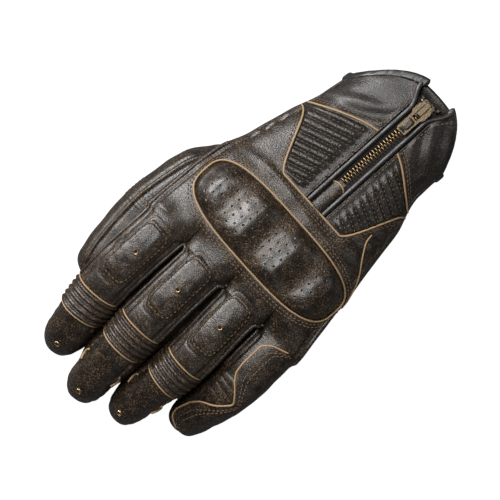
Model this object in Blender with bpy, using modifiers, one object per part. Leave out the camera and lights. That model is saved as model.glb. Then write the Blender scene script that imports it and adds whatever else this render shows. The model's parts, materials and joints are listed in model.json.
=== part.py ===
"""Left-hand leather riding glove lying palm down: fingers towards -X, cuff towards +X, thumb towards +Y.

Lengths are metres and +Z is up. Every leather piece is a patch of the hand's own surface or of a
finger's, so the pieces follow each other when a size is changed.
"""
import math

import bmesh
import bpy
from mathutils import Vector

# Sheet thicknesses and the gap left between pieces that touch
LEATHER = 0.0014
LINING = 0.0008
LINING_CLEARANCE = 0.0014
GAP = 0.0003
SEAT = 0.0007
PANEL_GAP = 0.0013
FINGER_SEAM_GAP = 0.085
HAND_SEAM_GAP = 0.055
WELD = 0.00001

# Hand: station along X, thumb-side edge, little-side edge, top, seam height, bottom
WEB_X = -0.0230
BLEND_X = -0.0082
HAND = (
    (WEB_X, 0.0553, -0.0618, 0.0520, 0.0380, 0.0270),
    (0.0000, 0.0548, -0.0575, 0.0545, 0.0340, 0.0150),
    (0.0220, 0.0530, -0.0542, 0.0535, 0.0300, 0.0060),
    (0.0420, 0.0468, -0.0500, 0.0520, 0.0270, 0.0020),
    (0.0640, 0.0420, -0.0460, 0.0520, 0.0270, 0.0020),
    (0.0860, 0.0360, -0.0388, 0.0520, 0.0270, 0.0020),
    (0.1310, 0.0325, -0.0405, 0.0520, 0.0270, 0.0020),
)
BACK_FULLNESS = 2.6
PALM_FULLNESS = 3.4
SEAM_ANGLE = math.radians(17.0)

# Fingers: share of the palm's width, length from the web, sideways lean of the tip, bow in the middle,
# half width, half width at the tip, half height, height of the root, height of the tip, bend from the web
FINGER_FULLNESS = 2.3
FINGERS = (
    ("index", 0.0285, 0.0900, -0.0082, 0.0015, 0.0131, 0.0114, 0.0122, 0.0400, 0.0110, 0.0568),
    ("middle", 0.0298, 0.0984, -0.0053, 0.0000, 0.0128, 0.0110, 0.0122, 0.0405, 0.0100, 0.0529),
    ("ring", 0.0282, 0.0900, 0.0009, -0.0026, 0.0119, 0.0106, 0.0118, 0.0385, 0.0066, 0.0487),
    ("little", 0.0270, 0.0690, 0.0041, -0.0020, 0.0121, 0.0102, 0.0114, 0.0335, 0.0022, 0.0332),
)
TIP_CAP = 0.0130
SLIT_ROUND = 0.0050
BEND_LENGTH = 0.0146
RIB_HEIGHT = 0.0010
RIBS = 5

# Thumb: station along X, middle across, middle height, half width
THUMB = (
    (-0.0760, 0.0440, 0.0109, 0.0114),
    (-0.0550, 0.0495, 0.0122, 0.0120),
    (-0.0280, 0.0537, 0.0134, 0.0130),
    (-0.0030, 0.0515, 0.0145, 0.0139),
    (0.0180, 0.0455, 0.0165, 0.0146),
    (0.0340, 0.0370, 0.0180, 0.0150),
)
THUMB_BEND_X = -0.0235
THUMB_BEND_LENGTH = 0.0126

# Wrist: where the back panel ends at the zip and at the sides, and where the quilted panels end
BACK_END_X = 0.0398
QUILT_END_X = 0.0925
SIDE_END_X = 0.0715
QUILT_SIDE_WIDTH = 0.0030
QUILT_RIDGES = 9
QUILT_HEIGHT = 0.0009
HEM_SIDE_X = 0.1030
HEM_REACH = 0.0280
HEM_FULLNESS = 3.0
HEM_BAND = 0.0055
HEM_PROUD = 0.0005

# Knuckle guard
GUARD_X = 0.0106
GUARD_Y = -0.0032
GUARD_HALF_LENGTH = 0.0174
GUARD_HALF_WIDTH = 0.0495
GUARD_SHELL = 0.0018
GUARD_FOAM = 0.0034
GUARD_RIDGE = 0.0016
GUARD_RIDGES_Y = (0.0360, 0.0106, -0.0160, -0.0410)
RIDGE_HALF_WIDTH = 0.0105
GUARD_CORNER = 3.2

# Finger pads: finger, centre from the web, sideways place, half length, half width
PADS = (
    ("index", 0.0205, 0.0, 0.0192, 0.0074),
    ("middle", 0.0178, 0.0, 0.0192, 0.0074),
    ("ring", 0.0148, 0.0, 0.0178, 0.0072),
)
PAD_HEIGHT = 0.0022
EYELET_RADIUS = 0.0013
EYELET_WIRE = 0.0005
TIP_EYELET_BACK = 0.0095

# Patch on the little finger and pad under the heel of the palm
PATCH = 0.0012
PATCH_FROM = math.radians(62.0)
PATCH_TO = math.radians(205.0)
HEEL_X = 0.0600
HEEL_Y = -0.0050
HEEL_HALF_LENGTH = 0.0310
HEEL_HALF_WIDTH = 0.0270

# Zip
ZIP_Y = -0.0064
ZIP_HALF_GAP = 0.0043
WELT_RADIUS = 0.0013
TAPE_WIDTH = 0.0066
TAPE = 0.0006
CHAIN_HALF_WIDTH = 0.0026
SPINE_WIDTH = 0.0008
TOOTH_PITCH = 0.00196
TOOTH_THICKNESS = 0.00062
TOOTH_CROSSING = 0.0006
TOOTH_HEIGHT = 0.0022
CHAIN_FROM_TAB = 0.0035
CHAIN_END_X = 0.1215
STOP_LENGTH = 0.0018
FLARE_X = 0.1120
FLARE_LENGTH = 0.0130
FLARE = 0.0042
TAB_START_X = 0.0412
TAB_END_X = 0.0570
CHAIN_START_X = TAB_END_X + CHAIN_FROM_TAB
UNDERLAY_LAP = 0.0038
UNDERLAY_END_X = 0.1180
UNDERLAY_HALF_WIDTH = 0.0100
UNDERLAY_DROP = 0.0032
SLIDER_X = 0.1120
SLIDER_LENGTH = 0.0096
SLIDER_NOSE_HALF_WIDTH = 0.0032
SLIDER_HALF_WIDTH = 0.0039
SLIDER_PLATE = 0.0009
SLIDER_NECK_RADIUS = 0.0007
BRIDGE_HALF_WIDTH = 0.0012
BRIDGE_HEIGHT = 0.0025
BRIDGE_METAL = 0.0008
PULL_LENGTH = 0.0195
PULL_HALF_WIDTH = 0.0031
PULL_EYE_HALF_WIDTH = 0.0043
PULL_EYE_LENGTH = 0.0098
PULL_THICKNESS = 0.0009
PULL_BAR = 0.0005
PIPING_RADIUS = 0.0007

for leftover in list(bpy.data.objects):
    bpy.data.objects.remove(leftover, do_unlink=True)

glove = bpy.data.collections.new("riding_glove")
bpy.context.scene.collection.children.link(glove)
cutters = bpy.data.collections.new("cutters")
cutters.hide_render = True
bpy.context.scene.collection.children.link(cutters)


def material(name, colour, roughness, metallic=0.0):
    """A plain surface with its own colour, gloss and metalness."""
    made = bpy.data.materials.new(name)
    made.use_nodes = True
    shader = made.node_tree.nodes["Principled BSDF"]
    shader.inputs["Base Color"].default_value = (*colour, 1.0)
    shader.inputs["Roughness"].default_value = roughness
    shader.inputs["Metallic"].default_value = metallic
    return made


LEATHER_MATERIAL = material("glove_leather", (0.045, 0.039, 0.034), 0.55)
GUARD_MATERIAL = material("guard_leather", (0.060, 0.052, 0.045), 0.50)
TAN_MATERIAL = material("tan_edge", (0.480, 0.300, 0.150), 0.60)
FABRIC_MATERIAL = material("lining_fabric", (0.030, 0.029, 0.028), 0.90)
FOAM_MATERIAL = material("foam", (0.080, 0.080, 0.080), 0.95)
BRASS_MATERIAL = material("antique_brass", (0.300, 0.190, 0.090), 0.38, 1.0)
DARK_METAL_MATERIAL = material("dark_metal", (0.050, 0.045, 0.040), 0.40, 1.0)


def track(stations, values):
    """A smooth curve through the values, level at both ends and without overshoot."""
    count = len(stations)
    rises = [(values[i + 1] - values[i]) / (stations[i + 1] - stations[i]) for i in range(count - 1)]
    slopes = [0.0] * count
    for i in range(1, count - 1):
        if rises[i - 1] * rises[i] > 0.0:
            slopes[i] = 2.0 * rises[i - 1] * rises[i] / (rises[i - 1] + rises[i])

    def value(x):
        x = min(max(x, stations[0]), stations[-1])
        i = 0
        while i < count - 2 and x > stations[i + 1]:
            i += 1
        step = stations[i + 1] - stations[i]
        f = (x - stations[i]) / step
        start = (1.0 + 2.0 * f) * (1.0 - f) ** 2 * values[i] + f * (1.0 - f) ** 2 * step * slopes[i]
        end = f * f * (3.0 - 2.0 * f) * values[i + 1] + f * f * (f - 1.0) * step * slopes[i + 1]
        return start + end

    return value


def ease(f):
    """0 to 1 with level ends."""
    f = min(max(f, 0.0), 1.0)
    return f * f * (3.0 - 2.0 * f)


def mix(a, b, f):
    """Straight mix of two values."""
    return a + (b - a) * f


def power(base, exponent):
    """A signed power, for the rounded sections."""
    return math.copysign(abs(base) ** exponent, base)


def arch(t, fullness):
    """Height of a rounded section at t of its half width."""
    return max(0.0, 1.0 - abs(t) ** fullness) ** (1.0 / fullness)


HAND_X = [row[0] for row in HAND]
thumb_edge = track(HAND_X, [row[1] for row in HAND])
little_edge = track(HAND_X, [row[2] for row in HAND])
top_z = track(HAND_X, [row[3] for row in HAND])
seam_z = track(HAND_X, [row[4] for row in HAND])
bottom_z = track(HAND_X, [row[5] for row in HAND])
HAND_SEAM = math.cos(SEAM_ANGLE) ** (2.0 / BACK_FULLNESS)
FINGER_SEAM = math.cos(SEAM_ANGLE) ** (2.0 / FINGER_FULLNESS)


def middle_y(x):
    """Middle of the hand across."""
    return 0.5 * (thumb_edge(x) + little_edge(x))


def half_width(x):
    """Half the hand's width."""
    return 0.5 * (thumb_edge(x) - little_edge(x))


class Sleeve:
    """A finger or the thumb: a rounded tube along -X that ends in a cap."""

    def __init__(self, name, tip_x, centre_y, centre_z, width, height):
        self.name = name
        self.tip_x = tip_x
        self.centre_y = centre_y
        self.centre_z = centre_z
        self.width = width
        self.height = height

    def centre(self, x):
        """Point on the middle line."""
        return Vector((x, self.centre_y(x), self.centre_z(x)))

    def axes(self, x):
        """Directions towards the tip, across and up."""
        step = 0.0005
        ahead = (self.centre(x - step) - self.centre(x + step)).normalized()
        across = ahead.cross(Vector((0.0, 0.0, 1.0))).normalized()
        return ahead, across, across.cross(ahead)

    def swell(self, x):
        """1 along the tube, falling to 0 round the cap."""
        left = min(max((x - self.tip_x) / TIP_CAP, 0.0), 1.0)
        return arch(1.0 - left, 2.3)

    def point(self, x, angle, lift=0.0):
        """Surface point; angle 0 is the thumb side, a quarter turn is the top."""
        ahead, across, up = self.axes(x)
        cap = self.swell(x)
        side = power(math.cos(angle), 2.0 / FINGER_FULLNESS) * (self.width(x) * cap + lift)
        rise = power(math.sin(angle), 2.0 / FINGER_FULLNESS) * (self.height(x) * cap + lift)
        return self.centre(x) + across * side + up * rise


class Finger(Sleeve):
    """A finger with its place in the row."""

    def __init__(self, row, before, total):
        name, share, length, lean, bow, half, tip_half, tall, root_z, tip_z, bend = row
        self.first = before / total
        self.last = (before + share) / total
        reach = half_width(WEB_X) * HAND_SEAM
        self.root_half = reach * (self.last - self.first)
        self.root_y = middle_y(WEB_X) + reach * (1.0 - self.first - self.last)
        self.root_z = root_z
        self.tall = tall
        self.bend_start = WEB_X - bend + 0.5 * BEND_LENGTH
        self.bend_end = WEB_X - bend - 0.5 * BEND_LENGTH
        self.bend_x = WEB_X - bend

        def along(x):
            return min(max((WEB_X - x) / length, 0.0), 1.0)

        def centre_y(x):
            f = along(x)
            return self.root_y + lean * f * f + bow * math.sin(math.pi * f) ** 2

        def centre_z(x):
            return mix(root_z, tip_z, along(x) ** 2.4)

        def width(x):
            f = along(x)
            slit = math.sqrt(1.0 - (1.0 - min((WEB_X - x) / SLIT_ROUND, 1.0)) ** 2) if x < WEB_X else 0.0
            free = mix(half, tip_half, ease((f - 0.35) / 0.6))
            return mix(self.root_half / FINGER_SEAM, free, slit)

        def height(x):
            return tall * mix(1.0, 0.88, ease((along(x) - 0.4) / 0.6))

        super().__init__(name, WEB_X - length, centre_y, centre_z, width, height)


TOTAL_SHARE = sum(row[1] for row in FINGERS)
fingers = {}
before = 0.0
for row in FINGERS:
    fingers[row[0]] = Finger(row, before, TOTAL_SHARE)
    before += row[1]

THUMB_X = [row[0] for row in THUMB]
thumb_half = track(THUMB_X, [row[3] for row in THUMB])
thumb = Sleeve("thumb", THUMB_X[0], track(THUMB_X, [row[1] for row in THUMB]),
               track(THUMB_X, [row[2] for row in THUMB]), thumb_half, lambda x: thumb_half(x) - GAP)


def finger_height(x, y, sign):
    """Height of the finger roots above or below their middles, for the run into the webs."""
    share = 0.5 * (1.0 - (y - middle_y(x)) / (half_width(x) * HAND_SEAM))
    share = min(max(share, 0.0), 1.0)
    for finger in fingers.values():
        if share <= finger.last or finger.last > 0.999:
            break
    t = (finger.first + finger.last - 2.0 * share) / (finger.last - finger.first)
    return finger.root_z + sign * finger.tall * arch(t * FINGER_SEAM, FINGER_FULLNESS)


def hand_point(x, angle, lift=0.0):
    """Surface of the hand; angle 0 is the thumb-side seam line, a quarter turn is the top."""
    upper = math.sin(angle) >= 0.0
    fullness = BACK_FULLNESS if upper else PALM_FULLNESS
    across = power(math.cos(angle), 2.0 / fullness)
    rise = power(math.sin(angle), 2.0 / fullness)
    y = middle_y(x) + (half_width(x) + lift) * across
    tall = (top_z(x) - seam_z(x)) if upper else (seam_z(x) - bottom_z(x))
    z = seam_z(x) + (tall + lift) * rise
    if x < BLEND_X:
        root = finger_height(x, middle_y(x) + half_width(x) * across, 1.0 if upper else -1.0)
        inside = ease(abs(rise) / 0.45)
        root = mix(mix(fingers["index"].root_z, fingers["little"].root_z, 0.5 - 0.5 * across), root, inside)
        z = mix(root + lift * rise, z, ease((x - WEB_X) / (BLEND_X - WEB_X)))
    return Vector((x, y, z))


def angle_at(x, y):
    """Angle on the back of the hand whose point has the given y."""
    t = min(max((y - middle_y(x)) / half_width(x), -1.0), 1.0)
    return math.acos(power(t, BACK_FULLNESS / 2.0))


def back_point(finger, x, t, lift=0.0):
    """Back of the glove in a finger's strip: t is 1 at its thumb-side seam and -1 at the other."""
    if x <= WEB_X:
        side = t * FINGER_SEAM
        ahead, across, up = finger.axes(x)
        cap = finger.swell(x)
        rise = arch(side, FINGER_FULLNESS) * (finger.height(x) * cap + lift)
        return finger.centre(x) + across * side * (finger.width(x) * cap + lift) + up * rise
    share = mix(finger.last, finger.first, 0.5 + 0.5 * t)
    across = HAND_SEAM * (1.0 - 2.0 * share)
    y = middle_y(x) + (half_width(x) + lift) * across
    z = seam_z(x) + (top_z(x) - seam_z(x) + lift) * arch(across, BACK_FULLNESS)
    root = finger.root_z + (finger.tall + lift) * arch(t * FINGER_SEAM, FINGER_FULLNESS)
    return Vector((x, y, mix(root, z, ease((x - WEB_X) / (BLEND_X - WEB_X)))))


def lifted(surface, a, b, height):
    """A point raised square to a surface of two values."""
    step = 0.0004
    here = surface(a, b)
    along = surface(a + step, b) - surface(a - step, b)
    across = surface(a, b + step) - surface(a, b - step)
    normal = along.cross(across).normalized()
    if normal.z < 0.0:
        normal = -normal
    return here + normal * height


def on_back(x, y):
    """Back of the hand over a place in plan."""
    return hand_point(x, angle_at(x, y))


def hand_core(point):
    """Middle of the hand beside a point."""
    return Vector((point.x, middle_y(point.x), seam_z(point.x)))


def new_object(name, mesh, surface, collection=glove):
    """Link a mesh as a named piece with its own material."""
    made = bpy.data.objects.new(name, mesh)
    mesh.materials.append(surface)
    collection.objects.link(made)
    return made


def face_out(bm, core):
    """Turn the faces of an open surface away from its core."""
    total = 0.0
    bm.normal_update()
    for face in bm.faces:
        centre = face.calc_center_median()
        total += face.normal.dot(centre - core(centre)) * face.calc_area()
    if total < 0.0:
        bmesh.ops.reverse_faces(bm, faces=bm.faces)


def sheet(name, place, across, along, thickness, core, surface, collection=glove):
    """A grid laid on a surface, place(a, b) for a and b from 0 to 1, thickened inwards."""
    bm = bmesh.new()
    bmesh.ops.create_grid(bm, x_segments=across, y_segments=along, size=0.5)
    for vert in bm.verts:
        vert.co = place(vert.co.x + 0.5, vert.co.y + 0.5)
    bmesh.ops.remove_doubles(bm, verts=bm.verts, dist=WELD)
    face_out(bm, core)
    mesh = bpy.data.meshes.new(name)
    bm.to_mesh(mesh)
    bm.free()
    made = new_object(name, mesh, surface, collection)
    if thickness > 0.0:
        solid = made.modifiers.new("Thickness", "SOLIDIFY")
        solid.thickness = thickness
        solid.offset = -1.0
    return made


def slab(name, bottom, top, across, along, surface):
    """A solid between two grids, bottom(a, b) and top(a, b), for a and b from 0 to 1."""
    bm = bmesh.new()
    layers = []
    for place in (bottom, top):
        layers.append([[bm.verts.new(place(i / across, j / along)) for i in range(across + 1)]
                       for j in range(along + 1)])
    for layer in layers:
        for j in range(along):
            for i in range(across):
                bm.faces.new((layer[j][i], layer[j][i + 1], layer[j + 1][i + 1], layer[j + 1][i]))
    rims = []
    for layer in layers:
        rims.append(layer[0] + [row[-1] for row in layer[1:]] + layer[-1][-2::-1]
                    + [row[0] for row in layer[-2:0:-1]])
    for i in range(len(rims[0])):
        j = (i + 1) % len(rims[0])
        bm.faces.new((rims[0][i], rims[0][j], rims[1][j], rims[1][i]))
    bmesh.ops.recalc_face_normals(bm, faces=bm.faces)
    mesh = bpy.data.meshes.new(name)
    bm.to_mesh(mesh)
    bm.free()
    return new_object(name, mesh, surface)


def cord(name, points, radius, surface, closed=False):
    """A round cord along points."""
    curve = bpy.data.curves.new(name, "CURVE")
    curve.dimensions = "3D"
    curve.bevel_depth = radius
    curve.bevel_resolution = 1
    curve.use_fill_caps = not closed
    spline = curve.splines.new("POLY")
    spline.points.add(len(points) - 1)
    for target, point in zip(spline.points, points):
        target.co = (*point, 1.0)
    spline.use_cyclic_u = closed
    made = bpy.data.objects.new(name, curve)
    curve.materials.append(surface)
    glove.objects.link(made)
    return made


def plate(name, outlines, thickness, surface, collection=glove):
    """A flat plate of the given outlines, centred on its own height; later outlines are holes."""
    curve = bpy.data.curves.new(name, "CURVE")
    curve.dimensions = "2D"
    curve.fill_mode = "BOTH"
    curve.extrude = 0.5 * thickness
    for outline in outlines:
        spline = curve.splines.new("POLY")
        spline.points.add(len(outline) - 1)
        for target, point in zip(spline.points, outline):
            target.co = (point[0], point[1], 0.0, 1.0)
        spline.use_cyclic_u = True
    made = bpy.data.objects.new(name, curve)
    curve.materials.append(surface)
    collection.objects.link(made)
    return made


def to_mesh(made):
    """Swap a curve piece for its mesh, keeping its name and place."""
    graph = bpy.context.evaluated_depsgraph_get()
    mesh = bpy.data.meshes.new_from_object(made.evaluated_get(graph))
    bm = bmesh.new()
    bm.from_mesh(mesh)
    bmesh.ops.remove_doubles(bm, verts=bm.verts, dist=WELD)
    bmesh.ops.recalc_face_normals(bm, faces=bm.faces)
    bm.to_mesh(mesh)
    bm.free()
    fresh = bpy.data.objects.new(made.name, mesh)
    fresh.matrix_world = made.matrix_world.copy()
    for collection in made.users_collection:
        collection.objects.link(fresh)
    name = made.name
    bpy.data.objects.remove(made, do_unlink=True)
    fresh.name = name
    return fresh


def cut(made, cutter, operation="DIFFERENCE"):
    """Boolean with a cutter kept in its own collection."""
    boolean = made.modifiers.new("Cut", "BOOLEAN")
    boolean.operation = operation
    boolean.solver = "EXACT"
    boolean.object = cutter
    cutter.hide_render = True
    cutter.display_type = "WIRE"


def zip_flare(x):
    """How far the zip's edges have parted beyond the slider."""
    return FLARE * ease((x - FLARE_X) / FLARE_LENGTH)


def panel_edge(x):
    """Distance of the wrist leather from the zip's middle line."""
    return ZIP_HALF_GAP + 2.0 * WELT_RADIUS + SEAT + 1.3 * zip_flare(x)


def seam_reach(x, side):
    """Distance across from the zip's middle line to the seam on one side."""
    return abs(middle_y(x) + side * half_width(x) * HAND_SEAM - ZIP_Y)


def side_share(x, y):
    """0 at the zip's middle line, 1 at the seam on the same side."""
    side = 1.0 if y > ZIP_Y else -1.0
    return min(abs(y - ZIP_Y) / seam_reach(x, side), 1.0)


def back_end(share):
    """Where the back panel ends, from the zip out to the side seam."""
    return mix(BACK_END_X, SIDE_END_X, ease((share - 0.45) / 0.55) ** 0.8)


def quilt_end(share):
    """Where the quilted panels end, from the zip out to the side seam."""
    return mix(QUILT_END_X, SIDE_END_X + QUILT_SIDE_WIDTH, share ** 1.8)


def hem(share):
    """The hem's line, from the zip out to the side seam."""
    return HEM_SIDE_X + HEM_REACH * (1.0 - share ** HEM_FULLNESS)


# Back panel with its four finger backs
def back_strip(finger, across, along):
    """Rows of one finger's strip from its bend to the wrist."""
    rows = []
    for j in range(along + 1):
        row = []
        for i in range(across + 1):
            t = 1.0 - 2.0 * i / across
            if j <= 5:
                x = mix(finger.bend_start + 0.5 * GAP, WEB_X, (j / 5.0) ** 0.8)
            else:
                end = BACK_END_X
                for _ in range(12):
                    near = back_point(finger, end, t)
                    end = back_end(side_share(end, near.y)) - 0.5 * PANEL_GAP
                x = mix(WEB_X, end, ((j - 5) / (along - 5)) ** 1.1)
            row.append(back_point(finger, x, t))
        rows.append(row)
    return rows


def back_panel():
    """The four strips welded into one piece, open only at the finger slits."""
    bm = bmesh.new()
    for finger in fingers.values():
        rows = [[bm.verts.new(point) for point in row] for row in back_strip(finger, 6, 12)]
        for j in range(len(rows) - 1):
            for i in range(len(rows[0]) - 1):
                bm.faces.new((rows[j][i], rows[j][i + 1], rows[j + 1][i + 1], rows[j + 1][i]))
    bmesh.ops.remove_doubles(bm, verts=bm.verts, dist=WELD)
    bm.normal_update()
    if sum(face.normal.z for face in bm.faces) < 0.0:
        bmesh.ops.reverse_faces(bm, faces=bm.faces)
    mesh = bpy.data.meshes.new("back_panel")
    bm.to_mesh(mesh)
    bm.free()
    made = new_object("back_panel", mesh, LEATHER_MATERIAL)
    solid = made.modifiers.new("Thickness", "SOLIDIFY")
    solid.thickness = LEATHER
    solid.offset = -1.0


back_panel()

# Cutters where the thumb meets the hand
def closed_tube(name, place, across, along):
    """A capped tube used as a cutter."""
    bm = bmesh.new()
    rings = [[bm.verts.new(place(j / along, 2.0 * math.pi * i / across)) for i in range(across)]
             for j in range(along + 1)]
    for j in range(along):
        for i in range(across):
            k = (i + 1) % across
            bm.faces.new((rings[j][i], rings[j][k], rings[j + 1][k], rings[j + 1][i]))
    bm.faces.new(rings[0])
    bm.faces.new(rings[-1])
    bmesh.ops.recalc_face_normals(bm, faces=bm.faces)
    mesh = bpy.data.meshes.new(name)
    bm.to_mesh(mesh)
    bm.free()
    made = bpy.data.objects.new(name, mesh)
    cutters.objects.link(made)
    made.hide_render = True
    made.display_type = "WIRE"
    return made


thumb_cutter = closed_tube("thumb_cutter",
                           lambda f, a: thumb.point(mix(THUMB_X[-1], -0.0300, f), a, GAP), 24, 10)
hand_cutter = closed_tube("hand_cutter",
                          lambda f, a: hand_point(mix(WEB_X + GAP, 0.0640, f), a, GAP), 36, 14)

# Palm panel, from seam to seam round the palm, with the thumb's hole
def palm_place(a, b):
    angle = mix(SEAM_ANGLE - HAND_SEAM_GAP, -math.pi - SEAM_ANGLE + HAND_SEAM_GAP, a)
    x = mix(WEB_X, HEM_SIDE_X - HEM_BAND - GAP, b ** 1.15)
    return hand_point(x, angle)


palm = sheet("palm_panel", palm_place, 18, 11, LEATHER, hand_core, LEATHER_MATERIAL)
cut(palm, thumb_cutter)

# Lining inside the hand, open under the zip
LINING_IN = LEATHER + LINING_CLEARANCE


def slot_angle(x, side):
    """Angle of the lining's edge beside the zip tape."""
    reach = CHAIN_HALF_WIDTH + SEAT + TAPE_WIDTH + 0.0012 + zip_flare(x)
    return angle_at(x, ZIP_Y + side * reach)


def lining_place(a, b):
    x = mix(0.0020, HEM_SIDE_X - HEM_BAND - 2.0 * GAP, b)
    start = slot_angle(x, 1.0)
    angle = mix(start, slot_angle(x, -1.0) - 2.0 * math.pi, a)
    return hand_point(x, angle, -LINING_IN)


lining = sheet("hand_lining", lining_place, 18, 6, LINING, hand_core, FABRIC_MATERIAL)
cut(lining, thumb_cutter)

# Finger gussets: the sides and front of each finger from the web to the bend
for finger in fingers.values():
    def gusset_place(a, b, finger=finger):
        angle = mix(math.pi - SEAM_ANGLE + FINGER_SEAM_GAP, 2.0 * math.pi + SEAM_ANGLE - FINGER_SEAM_GAP, a)
        x = mix(WEB_X - 0.0010, finger.bend_start + 0.5 * GAP, b)
        return finger.point(x, angle)

    sheet(finger.name + "_gusset", gusset_place, 12, 5, LEATHER,
          lambda p, finger=finger: finger.centre(p.x), LEATHER_MATERIAL)

# Bends: ribbed rings on the fingers, ribs over the back only
def bend_ring(name, sleeve, start, end, ribs, height, across):
    def place(a, b):
        angle = 2.0 * math.pi * a
        wave = 0.5 - 0.5 * math.cos(2.0 * math.pi * ribs * b)
        window = ease((math.sin(angle) + 0.1) / 0.5)
        return sleeve.point(mix(start, end, b), angle, height * wave * window)

    return sheet(name, place, across, 2 * ribs, LEATHER, lambda p: sleeve.centre(p.x), LEATHER_MATERIAL)


for finger in fingers.values():
    bend_ring(finger.name + "_bend", finger, finger.bend_start - 0.5 * GAP, finger.bend_end + 0.5 * GAP,
              RIBS if finger.name != "little" else 3, RIB_HEIGHT if finger.name != "little" else 0.0003, 14)

# Fingertips: closed leather caps
def tip_cap(name, sleeve, start, across, along):
    def place(a, b):
        x = mix(start, sleeve.tip_x, 1.0 - (1.0 - b) ** 1.9)
        return sleeve.point(x, 2.0 * math.pi * a)

    return sheet(name, place, across, along, LEATHER, lambda p: sleeve.centre(p.x), LEATHER_MATERIAL)


for finger in fingers.values():
    tip_cap(finger.name + "_tip", finger, finger.bend_end - 0.5 * GAP, 14, 7)

# Thumb: root on the palm, gathered bend and closed tip
THUMB_BEND_START = THUMB_BEND_X + 0.5 * THUMB_BEND_LENGTH
THUMB_BEND_END = THUMB_BEND_X - 0.5 * THUMB_BEND_LENGTH


def thumb_root_place(a, b):
    x = mix(THUMB_X[-1] - 0.004, THUMB_BEND_START + 0.5 * GAP, b)
    return thumb.point(x, 2.0 * math.pi * a)


thumb_root = sheet("thumb_root", thumb_root_place, 16, 6, LEATHER, lambda p: thumb.centre(p.x),
                   LEATHER_MATERIAL)
cut(thumb_root, hand_cutter)
bend_ring("thumb_bend", thumb, THUMB_BEND_START - 0.5 * GAP, THUMB_BEND_END + 0.5 * GAP, 3, 0.0006, 14)
tip_cap("thumb_tip", thumb, THUMB_BEND_END - 0.5 * GAP, 14, 8)


def disc(a, b, corner):
    """Square grid spread over a rounded outline: plan place from -1 to 1 and distance from the middle."""
    p = 2.0 * a - 1.0
    q = 2.0 * b - 1.0
    u = p * math.sqrt(1.0 - 0.5 * q * q)
    v = q * math.sqrt(1.0 - 0.5 * p * p)
    r = math.hypot(u, v)
    if r > 1e-9:
        c, s = abs(u) / r, abs(v) / r
        spread = (c ** corner + s ** corner) ** (-1.0 / corner)
        u *= spread
        v *= spread
    return u, v, r


# Knuckle guard: foam pad, ridged leather shell and its piping
def guard_dome(r):
    return 1.0 - r ** 3.2


def guard_ridge(y):
    return sum(max(0.0, math.cos(0.5 * math.pi * min(abs(y - c) / RIDGE_HALF_WIDTH, 1.0))) ** 1.5
               for c in GUARD_RIDGES_Y)


def guard_place(a, b, reach, low, rise, ridge):
    u, v, r = disc(a, b, GUARD_CORNER)
    x = GUARD_X + GUARD_HALF_LENGTH * reach * u
    y = GUARD_Y + GUARD_HALF_WIDTH * reach * v
    dome = guard_dome(r * reach)
    return lifted(on_back, x, y, low + rise * dome + ridge * guard_ridge(y) * dome)


slab("knuckle_foam",
     lambda a, b: guard_place(a, b, 0.82, SEAT, 0.0, 0.0),
     lambda a, b: guard_place(a, b, 0.82, SEAT - 0.0009, GUARD_FOAM, 0.0), 6, 10, FOAM_MATERIAL)
slab("knuckle_guard",
     lambda a, b: guard_place(a, b, 1.0, SEAT, GUARD_FOAM, 0.0),
     lambda a, b: guard_place(a, b, 1.0, SEAT + GUARD_SHELL, GUARD_FOAM, GUARD_RIDGE), 6, 24, GUARD_MATERIAL)
guard_rim = []
for i in range(32):
    turn = 2.0 * math.pi * i / 32
    c, s = math.cos(turn), math.sin(turn)
    spread = (abs(c) ** GUARD_CORNER + abs(s) ** GUARD_CORNER) ** (-1.0 / GUARD_CORNER)
    out = PIPING_RADIUS + GAP
    guard_rim.append(lifted(on_back, GUARD_X + (GUARD_HALF_LENGTH + out) * spread * c,
                            GUARD_Y + (GUARD_HALF_WIDTH + out) * spread * s, PIPING_RADIUS + SEAT))
cord("knuckle_piping", guard_rim, PIPING_RADIUS, TAN_MATERIAL, closed=True)

# Finger pads and eyelets
def eyelet(name, at, normal):
    bpy.ops.mesh.primitive_torus_add(major_radius=EYELET_RADIUS, minor_radius=EYELET_WIRE,
                                     major_segments=12, minor_segments=5)
    made = bpy.context.object
    made.name = name
    made.data.name = name
    for collection in list(made.users_collection):
        collection.objects.unlink(made)
    glove.objects.link(made)
    made.data.materials.append(BRASS_MATERIAL)
    made.rotation_mode = "QUATERNION"
    made.rotation_quaternion = normal.to_track_quat("Z", "Y")
    made.location = at + normal * (EYELET_WIRE + GAP)


def surface_normal(surface, a, b):
    return (lifted(surface, a, b, 0.001) - surface(a, b)).normalized()


for name, out, side, half_length, half_across in PADS:
    finger = fingers[name]

    def strip(x, y, finger=finger):
        return back_point(finger, x, y / finger.root_half)

    def pad_place(a, b, rise, finger=finger, strip=strip, out=out, side=side,
                  half_length=half_length, half_across=half_across):
        u, v, r = disc(a, b, 6.0)
        x = WEB_X - out + half_length * u
        y = side + half_across * v
        return lifted(strip, x, y, SEAT + rise * (0.35 + 0.65 * (1.0 - r ** 4)))

    slab(name + "_pad", lambda a, b, p=pad_place: p(a, b, 0.0), lambda a, b, p=pad_place: p(a, b, PAD_HEIGHT),
         6, 8, LEATHER_MATERIAL)
    top = lifted(strip, WEB_X - out, side, SEAT + PAD_HEIGHT)
    eyelet(name + "_pad_eyelet", top, surface_normal(strip, WEB_X - out, side))

    def tip_surface(x, y, finger=finger):
        return finger.point(x, math.acos(max(-1.0, min(1.0, y / 0.01))))

    tip_at = finger.tip_x + TIP_EYELET_BACK
    eyelet(name + "_tip_eyelet", tip_surface(tip_at, 0.0), surface_normal(tip_surface, tip_at, 0.0))

# Patch round the outside of the little finger, parted at the bend
little = fingers["little"]


def patch_place(a, b, start, end, near, far):
    turn = mix(mix(near, far, b), PATCH_TO, a)
    return little.point(mix(start, end, b), turn, SEAT + PATCH)


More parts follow.
